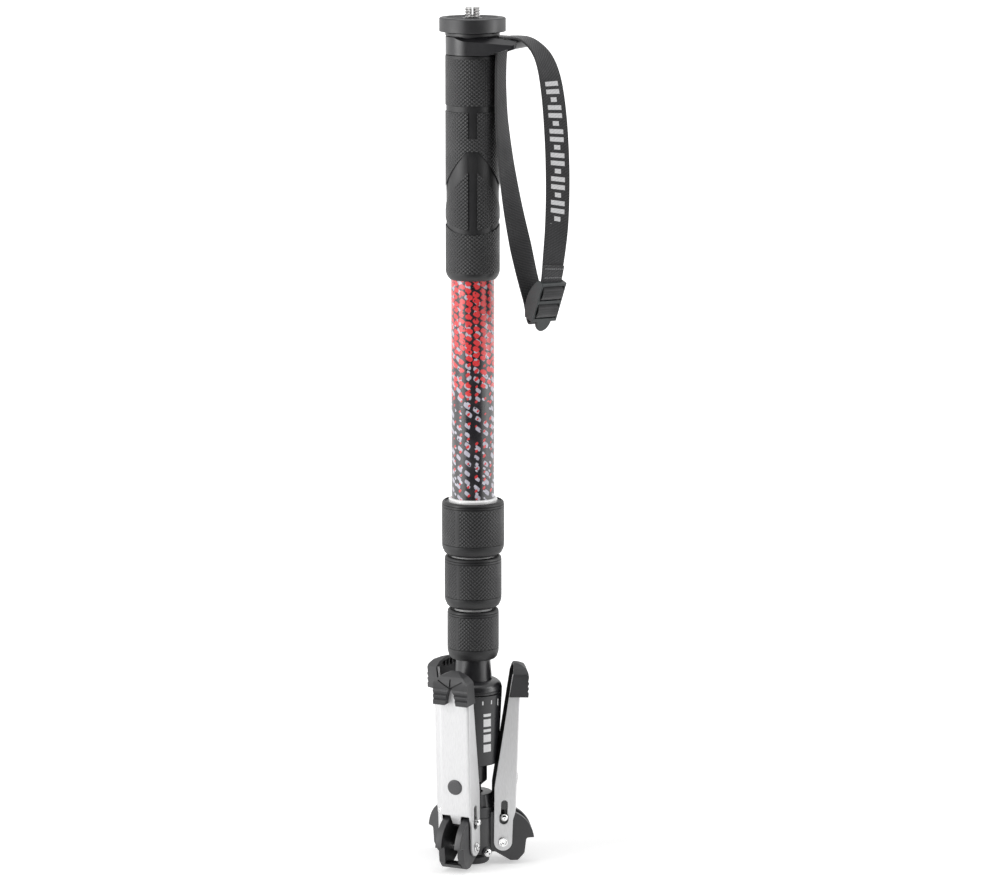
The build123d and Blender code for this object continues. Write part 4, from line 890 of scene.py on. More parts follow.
grip = {"top": -22.2, "bottom": -158.2, "radius": 16.45, "bore": 13.2, "sink": 0.55, "grooveTop": 30.1,
        "groove": 3.9, "recessHalf": 2.85, "recessFoot": 49.4, "arch": 57.3, "archHalf": 13.0,
        "outerFall": 0.33, "innerHalf": 10.0, "innerStart": 12.3, "innerFall": 0.3, "stripeTop": 60.3,
        "stripeFoot": 105.6, "bandTop": 98.5, "bandHeight": 3.2, "bandDip": 6.1, "footInset": 2.6,
        "footLength": 5.8, "rimTurns": [25, 38, 52, 66, 78, 90],
        "look": {"colour": (0.014, 0.014, 0.015), "roughness": 0.5, "grain": 1500, "bump": 0.8,
                 "bumpDepth": 0.3, "points": 41, "pitch": 2.3, "specular": 0.62,
                 # the point colour is a painted highlight on the raised points, and the hollow share is
                 # painted shade between them
                 "pointColour": (0.032, 0.032, 0.034), "pointHeight": 2.0, "minRadius": 16.2, "hollow": 0.45,
                 # a stripe share above 1 paints light into the recessed stripe
                 "grainHeight": 0.15, "bands": [(-20.0, -24.2), (-153.6, -160.0)], "stripeHalf": 2.95,
                 "stripeRadius": 15.8, "stripeShade": 1.25}}
top, radius, sink = grip["top"], grip["radius"], grip["sink"]
grooveTop, footStart = top - grip["grooveTop"], grip["bottom"] + grip["footLength"]
gripProfile = [
    (grip["bore"], top), (radius - 0.7, top), (radius - 0.2, top - 0.25), (radius, top - 0.9),
    (radius, grooveTop), (radius - sink, grooveTop - 0.25), (radius - sink,
                                                             grooveTop - grip["groove"] + 0.25),
    (radius, grooveTop - grip["groove"]), (radius, footStart)]
gripProfile += arcTo((radius, footStart), (radius - grip["footInset"], grip["bottom"]), 7)
handGrip = turned("handGrip", gripProfile + [(grip["bore"], grip["bottom"])], 144, True)

past = 20   # the cutters' outlines end outside the grip
apex, lowTop, half = top - grip["arch"], top - grip["bandTop"], grip["recessHalf"]


def roundGrip(turns, height):
    # a line round the front of the grip, its height given by the turn in degrees
    return [(radius * math.sin(math.radians(turn)), height(turn)) for turn in turns]


def mirrored(line):
    return [(-x, z) for x, z in reversed(line)]


def upright(top, foot):
    return [(-half, top), (half, top), (half, foot), (-half, foot)]


outer = roundGrip([grip["archHalf"]] + grip["rimTurns"],
                  lambda turn: apex - grip["outerFall"] * (turn - grip["archHalf"]))
within = roundGrip([grip["innerHalf"]] + grip["rimTurns"],
                   lambda turn: apex - grip["innerStart"] - grip["innerFall"] * (turn - grip["innerHalf"]))
outer.append((past, outer[-1][1]))
within.append((past, within[-1][1]))
arch = mirrored(outer) + outer + list(reversed(within)) + [(-x, z) for x, z in within]
waves = roundGrip(range(-90, 91, 12), lambda turn: lowTop - grip["bandDip"] * math.cos(math.radians(turn)))
waves = [(-past, lowTop)] + waves + [(past, lowTop)]
lowBand = waves + [(x, z - grip["bandHeight"]) for x, z in reversed(waves)]
stripe = upright(top - grip["stripeTop"], top - grip["stripeFoot"])
recess = upright(grooveTop - 0.2, top - grip["recessFoot"])
for name, shape, depth in (("arch", arch, sink), ("band", lowBand, sink), ("stripe", stripe, sink + 0.2),
                           ("recess", recess, sink + 0.1)):
    cutter = slab(name, shape, "y", -25, 25)
    combine(cutter, rod("core", (0, 0, -10), (0, 0, -170), radius - depth, 144))
    combine(handGrip, cutter)
cleaned(handGrip, 0.5)
eased(handGrip, 0.24, 2, 45)
settled(handGrip, "upper", knurlFinish("gripRubber", grip["look"]), ["hand_grip"], 30)
print("grip built")


# printed tube and the three plain ones inside it

tubes = {"radii": [13.2, 11.5, 9.8, 8.1], "wall": 1.1, "heads": [-22.2, -39.2, -41.2, -43.2], "edge": 0.15,
         "ends": [-309.8, -345.1, -378.0, -404.5], "bodies": ["upper", "section_2", "section_3", "section_4"],
         "look": {"colour": (0.022, 0.02, 0.024), "roughness": 0.32, "grain": 700, "coat": 0.35,
                  "coatRoughness": 0.16, "bumpDepth": 0.01, "specular": 0.7,
                  "cloudColour": (0.05, 0.045, 0.05), "cloudShare": 0.5, "cloud": 90, "printTop": -157.5,
                  "layers": [
                      {"count": 14, "pitch": 6.0, "seed": 3.0, "lean": 0.5, "narrow": 1.15, "size": 0.27,
                       "sizeSpread": 0.1, "sizeFrom": (-300.0, -230.0, 0.05),
                       "chance": (-310.0, -160.0, 0.92, 0.8), "colour": (0.5, 0.48, 0.56)},
                      {"count": 17, "pitch": 4.7, "seed": 41.0, "lean": 0.4, "narrow": 1.1, "size": 0.17,
                       "sizeSpread": 0.12, "sizeFrom": (-300.0, -230.0, 0.0),
                       "chance": (-310.0, -200.0, 0.7, 0.4), "colour": (0.6, 0.58, 0.66)},
                      {"count": 16, "pitch": 5.0, "seed": 11.0, "lean": -0.35, "narrow": 1.2, "size": 0.16,
                       "sizeSpread": 0.12, "sizeFrom": (-240.0, -200.0, 0.1),
                       "chance": (-310.0, -200.0, 0.6, 0.95), "colour": (0.7, 0.035, 0.04)},
                      {"count": 18, "pitch": 4.2, "seed": 29.0, "lean": 0.3, "narrow": 0.9, "size": 0.34,
                       "sizeSpread": 0.12, "sizeFrom": (-236.0, -204.0, 0.06),
                       "chance": (-238.0, -200.0, 0.0, 0.97), "colour": (0.8, 0.045, 0.05)},
                      {"count": 23, "pitch": 3.9, "seed": 5.0, "lean": 0.2, "narrow": 1.1, "size": 0.1,
                       "sizeSpread": 0.12, "sizeFrom": (-300.0, -160.0, 0.0),
                       "chance": (-310.0, -160.0, 0.1, 0.45), "colour": (0.03, 0.025, 0.03)}]}}
dot = {"level": -162.1, "seat": (12.5, 14.5, 1.15), "dotScrew": (12.3, 13.5, 1.0),
       "socket": (13.1, 14.0, 0.45)}


def dotRod(name, sides=24):
    # a bar straight out of the tube's front, at the small screw
    start, end, radius = dot[name]
    return rod(name, (0, -start, dot["level"]), (0, -end, dot["level"]), radius, sides)


printedTube = tubePrint("printedTube", tubes["look"])
for i, (radius, head, end) in enumerate(zip(tubes["radii"], tubes["heads"], tubes["ends"]), 1):
    inner, edge = radius - tubes["wall"], tubes["edge"]
    tube = turned(f"tube{i}", [(inner, head), (radius - edge, head), (radius, head - edge),
                               (radius, end + edge), (radius - edge, end), (inner, end)], 96, True)
    slotName, finish = "black_tube", finishes["tubeBlack"]
    if i == 1:
        combine(tube, dotRod("seat"))
        slotName, finish = "printed_tube", printedTube
    settled(tube, tubes["bodies"][i - 1], finish, [f"tube_{i}"])
dotScrew = dotRod("dotScrew")
combine(dotScrew, dotRod("socket", 6))
eased(dotScrew, 0.15, 2)
settled(dotScrew, "upper", finishes["tubeBlack"])
print("tubes built")


# twist locks: a rubber sleeve with four flatter sides, the bright ring above it and the nut inside

locks = {"tops": [-294.6, -328.9, -362.1], "heights": [33.2, 31.8, 30.9], "radii": [19.5, 17.9, 16.25],
         "facetTurns": [15, 15, 8], "facetSink": 0.45, "footInsets": [3.4, 3.4, 2.5], "shoulder": 5.8,
         "ringTops": [-292.8, -328.1, -361.0], "wall": 1.7, "nutWall": 2.1, "gap": 0.07, "lip": 0.8,
         "crown": 2.0, "crownTurns": (15, 32, 48, 62), "floor": 1.6, "floorHeight": 0.8, "colletLength": 11.5,
         # inset and drop of the points round the two grooves under the crown, then of the low groove
         "rim": [(0.12, 1.7), (0.5, 1.85), (0.5, 2.05), (0.05, 2.3), (0, 3.3), (0.3, 3.5), (0.02, 3.75),
                 (0, 4.2)],
         "lowGroove": [(0.3, 0.95), (0.05, 0.65), (0.05, 0)], "pointWidth": 2.45, "gapHalf": 4.2,
         "ringRim": [(0, 0.9), (0.25, 0.5), (0.65, 0.2), (1.1, 0)],
         "look": {"colour": (0.012, 0.012, 0.013), "roughness": 0.5, "grain": 1500, "bump": 0.75,
                  # the point colour is a painted highlight on the raised points, and the hollow share is
                  # painted shade between them
                  "bumpDepth": 0.28, "pitch": 2.35, "specular": 0.55, "pointColour": (0.032, 0.032, 0.034),
                  "pointHeight": 2.0, "hollow": 0.4, "grainHeight": 0.15}}
quarter, halfTurn = math.radians(90), math.radians(45)
for i in range(3):
    top, height, radius = locks["tops"][i], locks["heights"][i], locks["radii"][i]
    bottom, carrier, runner = top - height, tubes["radii"][i], tubes["radii"][i + 1]
    outer, lip, crown = carrier + locks["wall"], top - locks["lip"], locks["crown"]
    thread = outer + locks["gap"]
    nut = thread + locks["nutWall"]
    foot = radius - locks["footInsets"][i]
    floorEdge = foot - locks["floor"]
    shoulder = bottom + locks["shoulder"]
    rimFoot = top - locks["rim"][-1][1]
    profile = [(nut, lip), (nut, top - 0.15), (nut + 0.15, top)]
    profile += [(radius - crown + crown * math.sin(a), top - crown + crown * math.cos(a))
                for a in [math.radians(turn) for turn in locks["crownTurns"]]]
    profile += [(radius - inset, top - drop) for inset, drop in locks["rim"]]
    profile += [(radius, rimFoot - (rimFoot - shoulder - 1.2) * k / 4) for k in range(1, 5)]
    profile += [(radius - inset, shoulder + rise) for inset, rise in locks["lowGroove"]]
    profile += arcTo((radius - 0.05, shoulder), (foot, bottom), 7)
    profile += [(floorEdge, bottom), (floorEdge, bottom + locks["floorHeight"]), (nut - 0.3, shoulder),
                (nut, shoulder + 0.3)]
    sleeve = turned(f"lock{i + 1}Sleeve", profile, 192, True)
    facetTurn, sinkIn = math.radians(locks["facetTurns"][i]), locks["facetSink"]
    shift = (2 * radius - sinkIn) * sinkIn / (2 * radius * (1 - math.cos(halfTurn)) - 2 * sinkIn)
    facet = radius - sinkIn + shift
    for vertex in sleeve.data.vertices:   # four slightly flatter sides
        x, y, z = vertex.co / mm
        if math.hypot(x, y) > nut + 0.8 and z > bottom + 1.5:
            turn = (math.atan2(y, x) - facetTurn + halfTurn) % quarter - halfTurn
            limit = math.sqrt(facet ** 2 - (shift * math.sin(turn)) ** 2) - shift * math.cos(turn)
            vertex.co.x *= limit / radius
            vertex.co.y *= limit / radius
    look = dict(locks["look"], points=round(2 * math.pi * radius / locks["pointWidth"]),
                minRadius=radius - 0.75, gaps=(facetTurn - halfTurn, quarter, math.radians(locks["gapHalf"])),
                bands=[(top + 1, top - 4.0), (shoulder + 1.3, bottom - 1)])
    rubber = knurlFinish(f"lockRubber{i + 1}", look)
    settled(sleeve, f"lock_{i + 1}", rubber, [f"lock_{i + 1}_sleeve"], 30)

    ringTop, ringFoot = locks["ringTops"][i], tubes["ends"][i]
    ringProfile = [(carrier, ringFoot), (outer, ringFoot)]
    ringProfile += [(outer - inset, ringTop - drop) for inset, drop in locks["ringRim"]]
    ring = turned(f"lock{i + 1}Ring", ringProfile + [(carrier, ringTop - 0.02)], 96, True)
    settled(ring, tubes["bodies"][i], finishes["satin"], [f"lock_{i + 1}_ring"], 30)

    nutSide, nutFoot, throat = nut - 0.02, floorEdge - 0.12, runner + 0.3
    colletFoot = ringFoot - locks["colletLength"] - 0.3
    nutPiece = turned(f"lock{i + 1}Nut", [
        (thread, lip), (nutSide, lip), (nutSide, shoulder), (nutFoot, bottom + 0.6), (nutFoot, bottom),
        (throat, bottom), (throat, colletFoot), (thread - 1.0, colletFoot), (thread, ringFoot)], 96, True)
    settled(nutPiece, f"lock_{i + 1}", finishes["innerPlastic"], [f"lock_{i + 1}_nut"])
print("locks built")


# column sleeve, cap and cartridge

cartridge = {
    "columnTop": -393.3, "capTop": -406.5, "shoulder": -411.5, "capBottom": -414.1, "top": -414.6,
    "bottom": -459.2, "boltBore": 2.0, "tubeSeat": 8.1, "columnFloor": -404.5, "columnRadius": 11.6,
    "columnSide": [(10.75, -396.5), (11.15, -401.0), (11.45, -404.5)],
    "domeRadius": 17.55, "domeHeight": 4.7, "domeFullness": 1.1, "domeSteps": 8,
    "capGroove": [(17.6, -411.5), (17.75, -411.8), (17.75, -412.1), (17.35, -412.25), (17.35, -412.55),
                  (17.75, -412.7)],
    "capRadius": 17.75, "housingBore": 12.3, "housingFloor": -452.7, "stemBore": 5.0,
    "housingSide": [(17.45, -414.6), (17.7, -414.85), (17.62, -416.5), (15.42, -458.0), (15.2, -458.6),
                    (14.8, -459.05), (14.3, -459.2)],
    "stem": [(1.0, -454.2), (5.0, -454.2), (5.0, -459.2), (8.1, -459.2), (8.5, -459.6), (8.5, -470.4),
             (8.3, -470.8), (5.0, -473.7), (4.8, -474.1), (4.8, -478.8), (6.1, -479.65), (7.05, -481.6),
             (7.4, -483.83), (7.05, -486.1), (6.0, -488.15), (4.2, -489.9), (2.0, -490.95), (1.0, -491.15)],
    "look": {"colour": (0.015, 0.015, 0.017), "roughness": 0.34, "grain": 1500, "bumpDepth": 0.015,
             "specular": 0.7}}
cartridgeBlack = plainFinish("cartridgeBlack", cartridge["look"])
columnTop, capTop, capBottom = cartridge["columnTop"], cartridge["capTop"], cartridge["capBottom"]
seat, bore, columnFloor = cartridge["tubeSeat"], cartridge["boltBore"], cartridge["columnFloor"]
columnSleeve = turned("columnSleeve", [
    (seat, columnTop), (10.2, columnTop), (10.6, columnTop - 0.4), *cartridge["columnSide"],
    (cartridge["columnRadius"], capTop), (bore, capTop), (bore, columnFloor), (seat, columnFloor)], 96, True)
settled(columnSleeve, "section_4", cartridgeBlack, ["column_sleeve"])
columnRadius = cartridge["columnRadius"]
domeWidth = cartridge["domeRadius"] - columnRadius
cap = [(bore, capBottom), (bore, capTop), (columnRadius, capTop)]
for k in range(1, cartridge["domeSteps"]):   # the dome
    turn = k / cartridge["domeSteps"] * math.pi / 2
    outwards = domeWidth * math.sin(turn) ** cartridge["domeFullness"]
    cap.append((columnRadius + outwards, capTop - cartridge["domeHeight"] * (1 - math.cos(turn))))
cap += cartridge["capGroove"]
cap += [(cartridge["capRadius"], capBottom + 0.25), (cartridge["capRadius"] - 0.25, capBottom)]
settled(turned("cartridgeCap", cap, 128, True), "section_4", cartridgeBlack,
        ["cartridge_cap"], 25)
housingBore, housingFloor = cartridge["housingBore"], cartridge["housingFloor"]
stemBore = cartridge["stemBore"]
cartridgeHousing = turned("cartridgeHousing", [
    (housingBore, cartridge["top"]), *cartridge["housingSide"], (stemBore, cartridge["bottom"]),
    (stemBore, housingFloor), (housingBore, housingFloor)], 128, True)
settled(cartridgeHousing, "cartridge", cartridgeBlack, ["cartridge_housing"])

panScale = {"ticks": 18, "tickHalf": 0.42, "tickTop": -417.4, "short": 2.4, "long": 4.2, "tickInner": 17.1,
            "tickOuter": 17.66, "barLeft": 6.4, "barRight": 10.9, "barInner": 10.0, "barOuter": 18.0,
            "bars": [(425.6, 427.4), (429.0, 433.8), (435.4, 437.2), (438.8, 443.6), (445.2, 450.0)],
            "skin": [(16.5, -415.2), (17.74, -415.2), (15.5, -458.0), (14.0, -458.0)],
            "look": {"colour": (0.78, 0.78, 0.78), "roughness": 0.5, "grain": 1200, "bumpDepth": 0.01,
                     "dark": 0.95, "light": 1.03}}
ticks = []
for k in range(panScale["ticks"]):   # a plain scale and plain bars where the real one is lettered
    tickFoot = panScale["tickTop"] - panScale["short" if k % 3 else "long"]
    tick = block("tick", (-panScale["tickHalf"], -panScale["tickOuter"], tickFoot),
                 (panScale["tickHalf"], -panScale["tickInner"], panScale["tickTop"]))
    ticks.append(moved(tick, (0, 0, 0), (0, 0, k * 360 / panScale["ticks"])))
for start, end in panScale["bars"]:
    ticks.append(block("bar", (panScale["barLeft"], -panScale["barOuter"], -end),
                       (panScale["barRight"], -panScale["barInner"], -start)))
panMarks = joined(ticks, "panMarks")
combine(panMarks, turned("skin", panScale["skin"], 128, True), "INTERSECT")
settled(panMarks, "cartridge", plainFinish("markWhite", panScale["look"]))

ballStem = turned("ballStem", cartridge["stem"], 96)
settled(ballStem, "cartridge", cartridgeBlack, ["ball_stem"])
print("cartridge built")


# socket housing: a scalloped ring with round pockets over a plain body

socket = {"top": -478.2, "ringBottom": -486.1, "bottom": -492.9, "mouth": 6.1, "topRadius": 11.8,
          "ringRadius": 12.6, "radius": 13.2, "bore": 9.15, "boreTop": -483.8, "throat": (7.5, -479.9),
          "notches": 6, "notchReach": 14.2, "notchRadius": 2.9, "notchEnd": -470, "pocketLevel": -481.2,
          "pocketFloor": 10.7, "pocketRadius": 1.5, "edge": 0.35}
ringBottom, socketRadius = socket["ringBottom"], socket["radius"]
socketHousing = turned("socketHousing", [
    (socket["mouth"], socket["top"]), (socket["topRadius"] - 0.5, socket["top"]),
    (socket["topRadius"], socket["top"] - 0.5), (socket["ringRadius"], ringBottom),
    (socketRadius - 0.3, ringBottom), (socketRadius, ringBottom - socket["edge"]),
    (socketRadius, socket["bottom"] + socket["edge"]), (socketRadius - socket["edge"], socket["bottom"]),
    (socket["bore"], socket["bottom"]), (socket["bore"], socket["boreTop"]), socket["throat"]], 96, True)
for k in range(socket["notches"]):
    turn = 90 + k * 360 / socket["notches"]
    notch = [around(turn, socket["notchReach"], height) for height in (ringBottom, socket["notchEnd"])]
    combine(socketHousing, rod("notch", *notch, socket["notchRadius"], 24))
    turn += 180 / socket["notches"]
    pocket = [around(turn, reach, socket["pocketLevel"]) for reach in (socket["pocketFloor"], 14)]
    combine(socketHousing, rod("pocket", *pocket, socket["pocketRadius"], 20))
cleaned(socketHousing, 0.5)
eased(socketHousing, 0.18, 2, 40)
settled(socketHousing, "base", cartridgeBlack, ["socket_housing"])
print("socket built")


# leg base: three forks with curved cheeks round a hub, its side screws and the round foot

base = {"azimuths": [-25.0, 95.0, 215.0], "pivotReach": 17.6, "pivotLevel": -508.4, "cheekInner": 4.3,
        "cheekOuter": 8.55, "cam": 19.6, "camTurns": (7.6, 84), "cheekBack": -9.0, "cheekTop": 19.0,
        "sole": [(14.7, 1.8), (13.5, -7.8), (9.4, -12.3), (4.8, -12.3), (-4.7, -6.5), (-9.0, -6.5)],
        "soleRadii": (0, 1.6, 2.4, 1.6, 1.6, 0, 0, 0), "notch": 2.45, "latch": 16.0, "splay": 2.0,
        "bar": [(-13.0, -9.2), (-12.2, -10.1), (-9.4, -12.25), (-4.8, -12.25), (-3.6, -11.5), (-3.6, -9.2)],
        "barRadii": (0, 0.4, 1.2, 0, 0, 0), "hub": 13.2, "top": -492.9, "bottom": -515.5, "bore": 2.5,
        "edge": 0.35, "cup": 13.27, "screwTurns": [38, 158, 278], "screwLevel": -514.4, "bossReach": 14.3,
        "bossRadius": 3.2, "screwHead": [(1.5, -6.0), (1.5, 0.02), (2.62, 0.02), (2.65, 0.5), (2.45, 1.3),
                                         (1.9, 1.9), (1.0, 2.18),
                      (0.4, 2.2)],
        "foot": [(4.32, -515.5), (8.2, -515.5), (8.2, -517.0), (9.6, -518.2), (9.9, -518.7), (9.9, -520.9),
                 (9.6, -521.9), (8.9, -522.6), (8.0, -522.9), (4.32, -522.9), (4.32, -519.1), (2.5, -519.1),
                 (2.5, -515.5)],
        "footBolt": [(4.0, -521.7), (4.25, -521.45), (4.25, -519.1), (2.5, -519.1), (2.5, -502.1),
                     (1.0, -502.1)]}
latchTurn, notch, cheekInner = math.radians(base["splay"]), base["notch"], base["cheekInner"]
notchOut, notchUp = base["latch"] * math.sin(latchTurn), base["latch"] * math.cos(latchTurn)
backTop = (base["cheekBack"], base["cheekTop"])
cam = [(base["cam"] * math.sin(a), base["cam"] * math.cos(a)) for a in arcPoints(*base["camTurns"], 14)]
cheek = cam + roundCorners([cam[-1], *base["sole"], backTop], base["soleRadii"], 5)[1:-1]
cheek += [backTop, (notchOut - notch, base["cheekTop"])]
cheek += [(notchOut - notch * math.cos(a), notchUp - notch * math.sin(a)) for a in arcPoints(0, 180, 12)]
forks = []
for side in (1, -1):   # out of the leg is towards -Y before it is turned into place
    edges = sorted((side * cheekInner, side * base["cheekOuter"]))
    forks.append(eased(cleaned(slab("cheek", [(-u, v) for u, v in cheek], "x", *edges)), 0.4, 2, 24))
fork, otherCheek = forks
combine(fork, otherCheek, "UNION")
combine(fork, slab("forkBar", roundCorners(base["bar"], base["barRadii"]), "x", -cheekInner - 1,
                   cheekInner + 1),
        "UNION")
legBase = turned("legBase", [
    (base["bore"], base["bottom"]), (base["hub"] - base["edge"], base["bottom"]),
    (base["hub"], base["bottom"] + base["edge"]), (base["hub"], base["top"] - base["edge"]),
    (base["hub"] - base["edge"], base["top"]), (9.0, base["top"]), (base["bore"], base["top"])], 96)
for azimuth in base["azimuths"]:
    place = around(azimuth, base["pivotReach"], base["pivotLevel"])
    combine(legBase, moved(copied(fork, "forkCopy"), place, (0, 0, azimuth)), "UNION")
bpy.data.objects.remove(fork)
combine(legBase, rod("cup", (0, 0, base["top"] - 0.01), (0, 0, -470), base["cup"], 96))
for turn in base["screwTurns"]:   # bosses of the side screws
    boss = [around(turn, reach, base["screwLevel"]) for reach in (11, base["bossReach"])]
    combine(legBase, rod("boss", *boss, base["bossRadius"], 32), "UNION")
settled(legBase, "base", finishes["basePlastic"], ["leg_base"], 32)

screwHead = turned("screwHead", base["screwHead"], 40)
combine(screwHead, rod("socket", (0, 0, 1.3), (0, 0, 3.0), 1.0, 6))
screws = []
for turn in base["screwTurns"]:
    head = copied(screwHead, "screwCopy")
    head.rotation_euler = facing(around(turn, 1, 0))
    head.location = [part * mm for part in around(turn, base["bossReach"], base["screwLevel"])]
    screws.append(head)
bpy.data.objects.remove(screwHead)
settled(joined(screws, "baseScrews"), "base", finishes["chrome"], ["base_screws"], 40)

groundFoot = turned("groundFoot", base["foot"], 96, True)
settled(groundFoot, "base", finishes["padRubber"], ["foot"])
footBolt = turned("footBolt", base["footBolt"], 48)
combine(footBolt, rod("socket", (0, 0, -523), (0, 0, -520.4), 1.7, 6))
settled(footBolt, "base", finishes["steel"], ["foot_bolt"])
print("base built")


# one leg, upright with its pivot at the origin and out towards -Y, then copied three times

leg = {"length": 106.0, "half": 10.25, "wall": 1.2, "face": 7.4, "web": 1.5, "corner": 2.2, "ear": 5.6,
       "earTop": 14.0, "webFoot": 20.6, "kneeHeight": 34.0, "knee": 6.5, "endReach": 2.2,
       "tongue": (3.6, 2.0, 12.2), "pivotBore": 2.6, "slots": [(11.2, 18.8, 2.8), (15.0, 26.5, 2.05)],
       "plugHeight": 39, "plugBore": 4.15, "headGap": 0.3,
       "plug": [(4.1, -3.1), (4.1, 0), (4.75, 0), (4.8, 0.1), (4.72, 0.45), (4.4, 0.66), (3.6, 0.74),
                (1.5, 0.78), (0.3, 0.78)],
       "pivot": [(2.5, -10.55), (2.5, 0), (3.0, 0.0), (3.0, 0.5), (2.8, 0.75), (2.5, 0.82), (2.05, 0.8),
                 (1.9, 0.6), (1.7, 0.35), (0.3, 0.3)],
       "stud": [(1.85, -1.8), (1.85, 0), (1.6, 0.1), (1.6, 0.5), (2.0, 0.75), (2.3, 1.3), (2.3, 1.8),
                (2.05, 2.35), (1.5, 2.75), (0.8, 2.9), (0.25, 2.92)],
       "carrier": ((-8.6, -3.9, 20.2), (8.6, 1.6, 27.6)), "carrierStem": ((-3.9, -2.4, 12.6),
                                                                          (3.9, 1.4, 22.0))}
inner, webBack, webFoot = leg["half"] - leg["wall"], leg["face"] - leg["web"], leg["webFoot"]
sideShape = [(-leg["ear"] * math.cos(a), -leg["ear"] * math.sin(a)) for a in arcPoints(0, 180, 20)]
sideShape += [(leg["knee"], leg["kneeHeight"]), (-leg["endReach"], leg["length"]),
              (-leg["face"], leg["length"]), (-leg["face"], webFoot), (-leg["ear"], leg["earTop"])]
channel = slab("legChannel", sideShape, "x", -leg["half"], leg["half"])
only(channel)
for group in (channel.data.polygons, channel.data.vertices):
    for part in group:
        part.select = False
for edge in channel.data.edges:   # the two long front corners
    a, b = [channel.data.vertices[i].co / mm for i in edge.vertices]
    edge.select = all(abs(end.y + leg["face"]) < 0.01 for end in (a, b)) and abs(a.x - b.x) < 0.01
bpy.ops.object.mode_set(mode="EDIT")
bpy.ops.mesh.select_mode(type="EDGE")
bpy.ops.mesh.bevel(offset=leg["corner"] * mm, segments=6, affect="EDGES")
endEdit()
combine(channel, block("cut", (-inner, -webBack, -20), (inner, 30, 150)))
tongueHalf, tipHalf, tipHeight = leg["tongue"]
lowWeb = [(-inner, -20), (inner, -20), (inner, webFoot), (tongueHalf, webFoot), (tipHalf, tipHeight),
          (-tipHalf, tipHeight), (-tongueHalf, webFoot), (-inner, webFoot)]
combine(channel, slab("cut", lowWeb, "y", -20, 0))
combine(channel, rod("cut", (-20, 0, 0), (20, 0, 0), leg["pivotBore"], 40))


def slotShape(low, high, half):
    # a long hole with round ends
    ends = [(half * math.cos(a), half * math.sin(a)) for a in arcPoints(0, 180, 12)]
    return [(u, high - half + v) for u, v in ends] + [(-u, low + half - v) for u, v in ends]


for slot in leg["slots"]:
    combine(channel, slab("cut", slotShape(*slot), "x", -20, 20))
combine(channel, rod("cut", (0, -20, leg["plugHeight"]), (0, 0, leg["plugHeight"]), leg["plugBore"], 40))
cleaned(channel, 0.5)
eased(channel, 0.14, 2, 40)
innerMarks = channel.data.attributes.new("innerSide", "FLOAT", "FACE")
for polygon in channel.data.polygons:
    place, normal = polygon.center / mm, polygon.normal
    ofWall = abs(abs(place.x) - inner) < 0.05 and normal.x * place.x < 0 and abs(normal.x) > 0.9
    ofWeb = abs(place.y + webBack) < 0.05 and normal.y > 0.9
    innerMarks.data[polygon.index].value = 1.0 if ofWall or ofWeb else 0.0

webPlug = moved(turned("legPlug", leg["plug"], 48), (0, -leg["face"], leg["plugHeight"]), (90, 0, 0))


def bothSides(piece, name, height):
    # what is modelled pointing up is copied to each side wall, pointing outwards
    wall = leg["half"] + leg["headGap"]
    pair = [moved(copied(piece, name), (side * wall, 0, height), (0, 90 * side, 0)) for side in (1, -1)]
    bpy.data.objects.remove(piece)
    return joined(pair, name)


pivotHead = turned("pivotHead", leg["pivot"], 40)
combine(pivotHead, rod("socket", (0, 0, -0.6), (0, 0, 2), 1.15, 6))
legPivot = bothSides(pivotHead, "legPivot", 0)
stud = turned("stud", leg["stud"], 36)
combine(stud, rod("dimple", (0, 0, 2.4), (0, 0, 4), 0.55, 6))
legLatch = bothSides(stud, "legLatch", base["latch"])
latchCarrier = block("latchCarrier", *leg["carrier"])
combine(latchCarrier, block("stem", *leg["carrierStem"]), "UNION")
eased(latchCarrier, 0.5, 2)
print("leg channel, plug, pivot and latch built")


# pad at the tip: an arched rubber shoe with a fan and stepped treads outside, hollow inside

pad = {"top": 111.9, "bottom": 92.0, "half": 11.5, "shoulder": 105.9, "tread": 12.5, "back": 0.6,
       "backTop": 3.4, "arch": [(8.2, 109.3), (2.6, 111.9)], "archRadii": (0, 3.2, 3, 3.4, 3.4, 3, 3.2, 0),
       "steps": 3, "pitch": 3.1, "tip": [(-11.9, 101.8), (-12.3, 104.6), (-11.8, 107.4), (-10.4, 109.6),
                                         (-7.6, 111.1), (-5.2, 111.9)],
       "hollow": [(7.9, 104.0), (7.9, 107.2), (5.0, 109.4)], "hollowTop": 110.6,
       "hollowRadii": (0, 1, 2, 3, 2, 1, 0), "notch": [(3.7, 85), (3.7, 92.0), (2.4, 98.5)],
       "notchTop": 104.0, "gap": 0.07, "fanLevel": 102.6, "fanTurn": 30, "fanStart": 0.6, "fanReach": 9.4,
       "groove": 0.45, "fanGroove": 0.42, "grooveDepth": 1.5, "ribs": (-2.6, 0, 2.6), "ribHalf": 0.35,
       "rib": [(-6.3, 105.5), (-6.3, 110.2), (-4.4, 110.2), (-5.2, 105.5)]}
tread, grooveFloor = pad["tread"], -pad["tread"] + pad["grooveDepth"]
archRight = [(pad["half"], pad["bottom"]), (pad["half"], pad["shoulder"]), *pad["arch"]]
legPad = slab("legPad", roundCorners(archRight + mirrored(archRight), pad["archRadii"], 4), "y", -14.5, 0)
stepShape = [(-pad["back"], pad["bottom"]), (-tread + 0.2, pad["bottom"])]
for k in range(pad["steps"]):   # each step stands out at its top
    low, high = [pad["bottom"] + step * pad["pitch"] for step in (k, k + 1)]
    stepShape += [(-tread + (0.9 if k else 0.2), low + 0.25), (-tread, high - 0.75),
                  (-tread + 0.1, high - 0.3)]
stepShape += pad["tip"] + [(-pad["backTop"], pad["top"])]
combine(legPad, slab("cut", stepShape, "x", -20, 20), "INTERSECT")
fitHalf, fitFace = leg["half"] + pad["gap"], leg["face"] + pad["gap"]
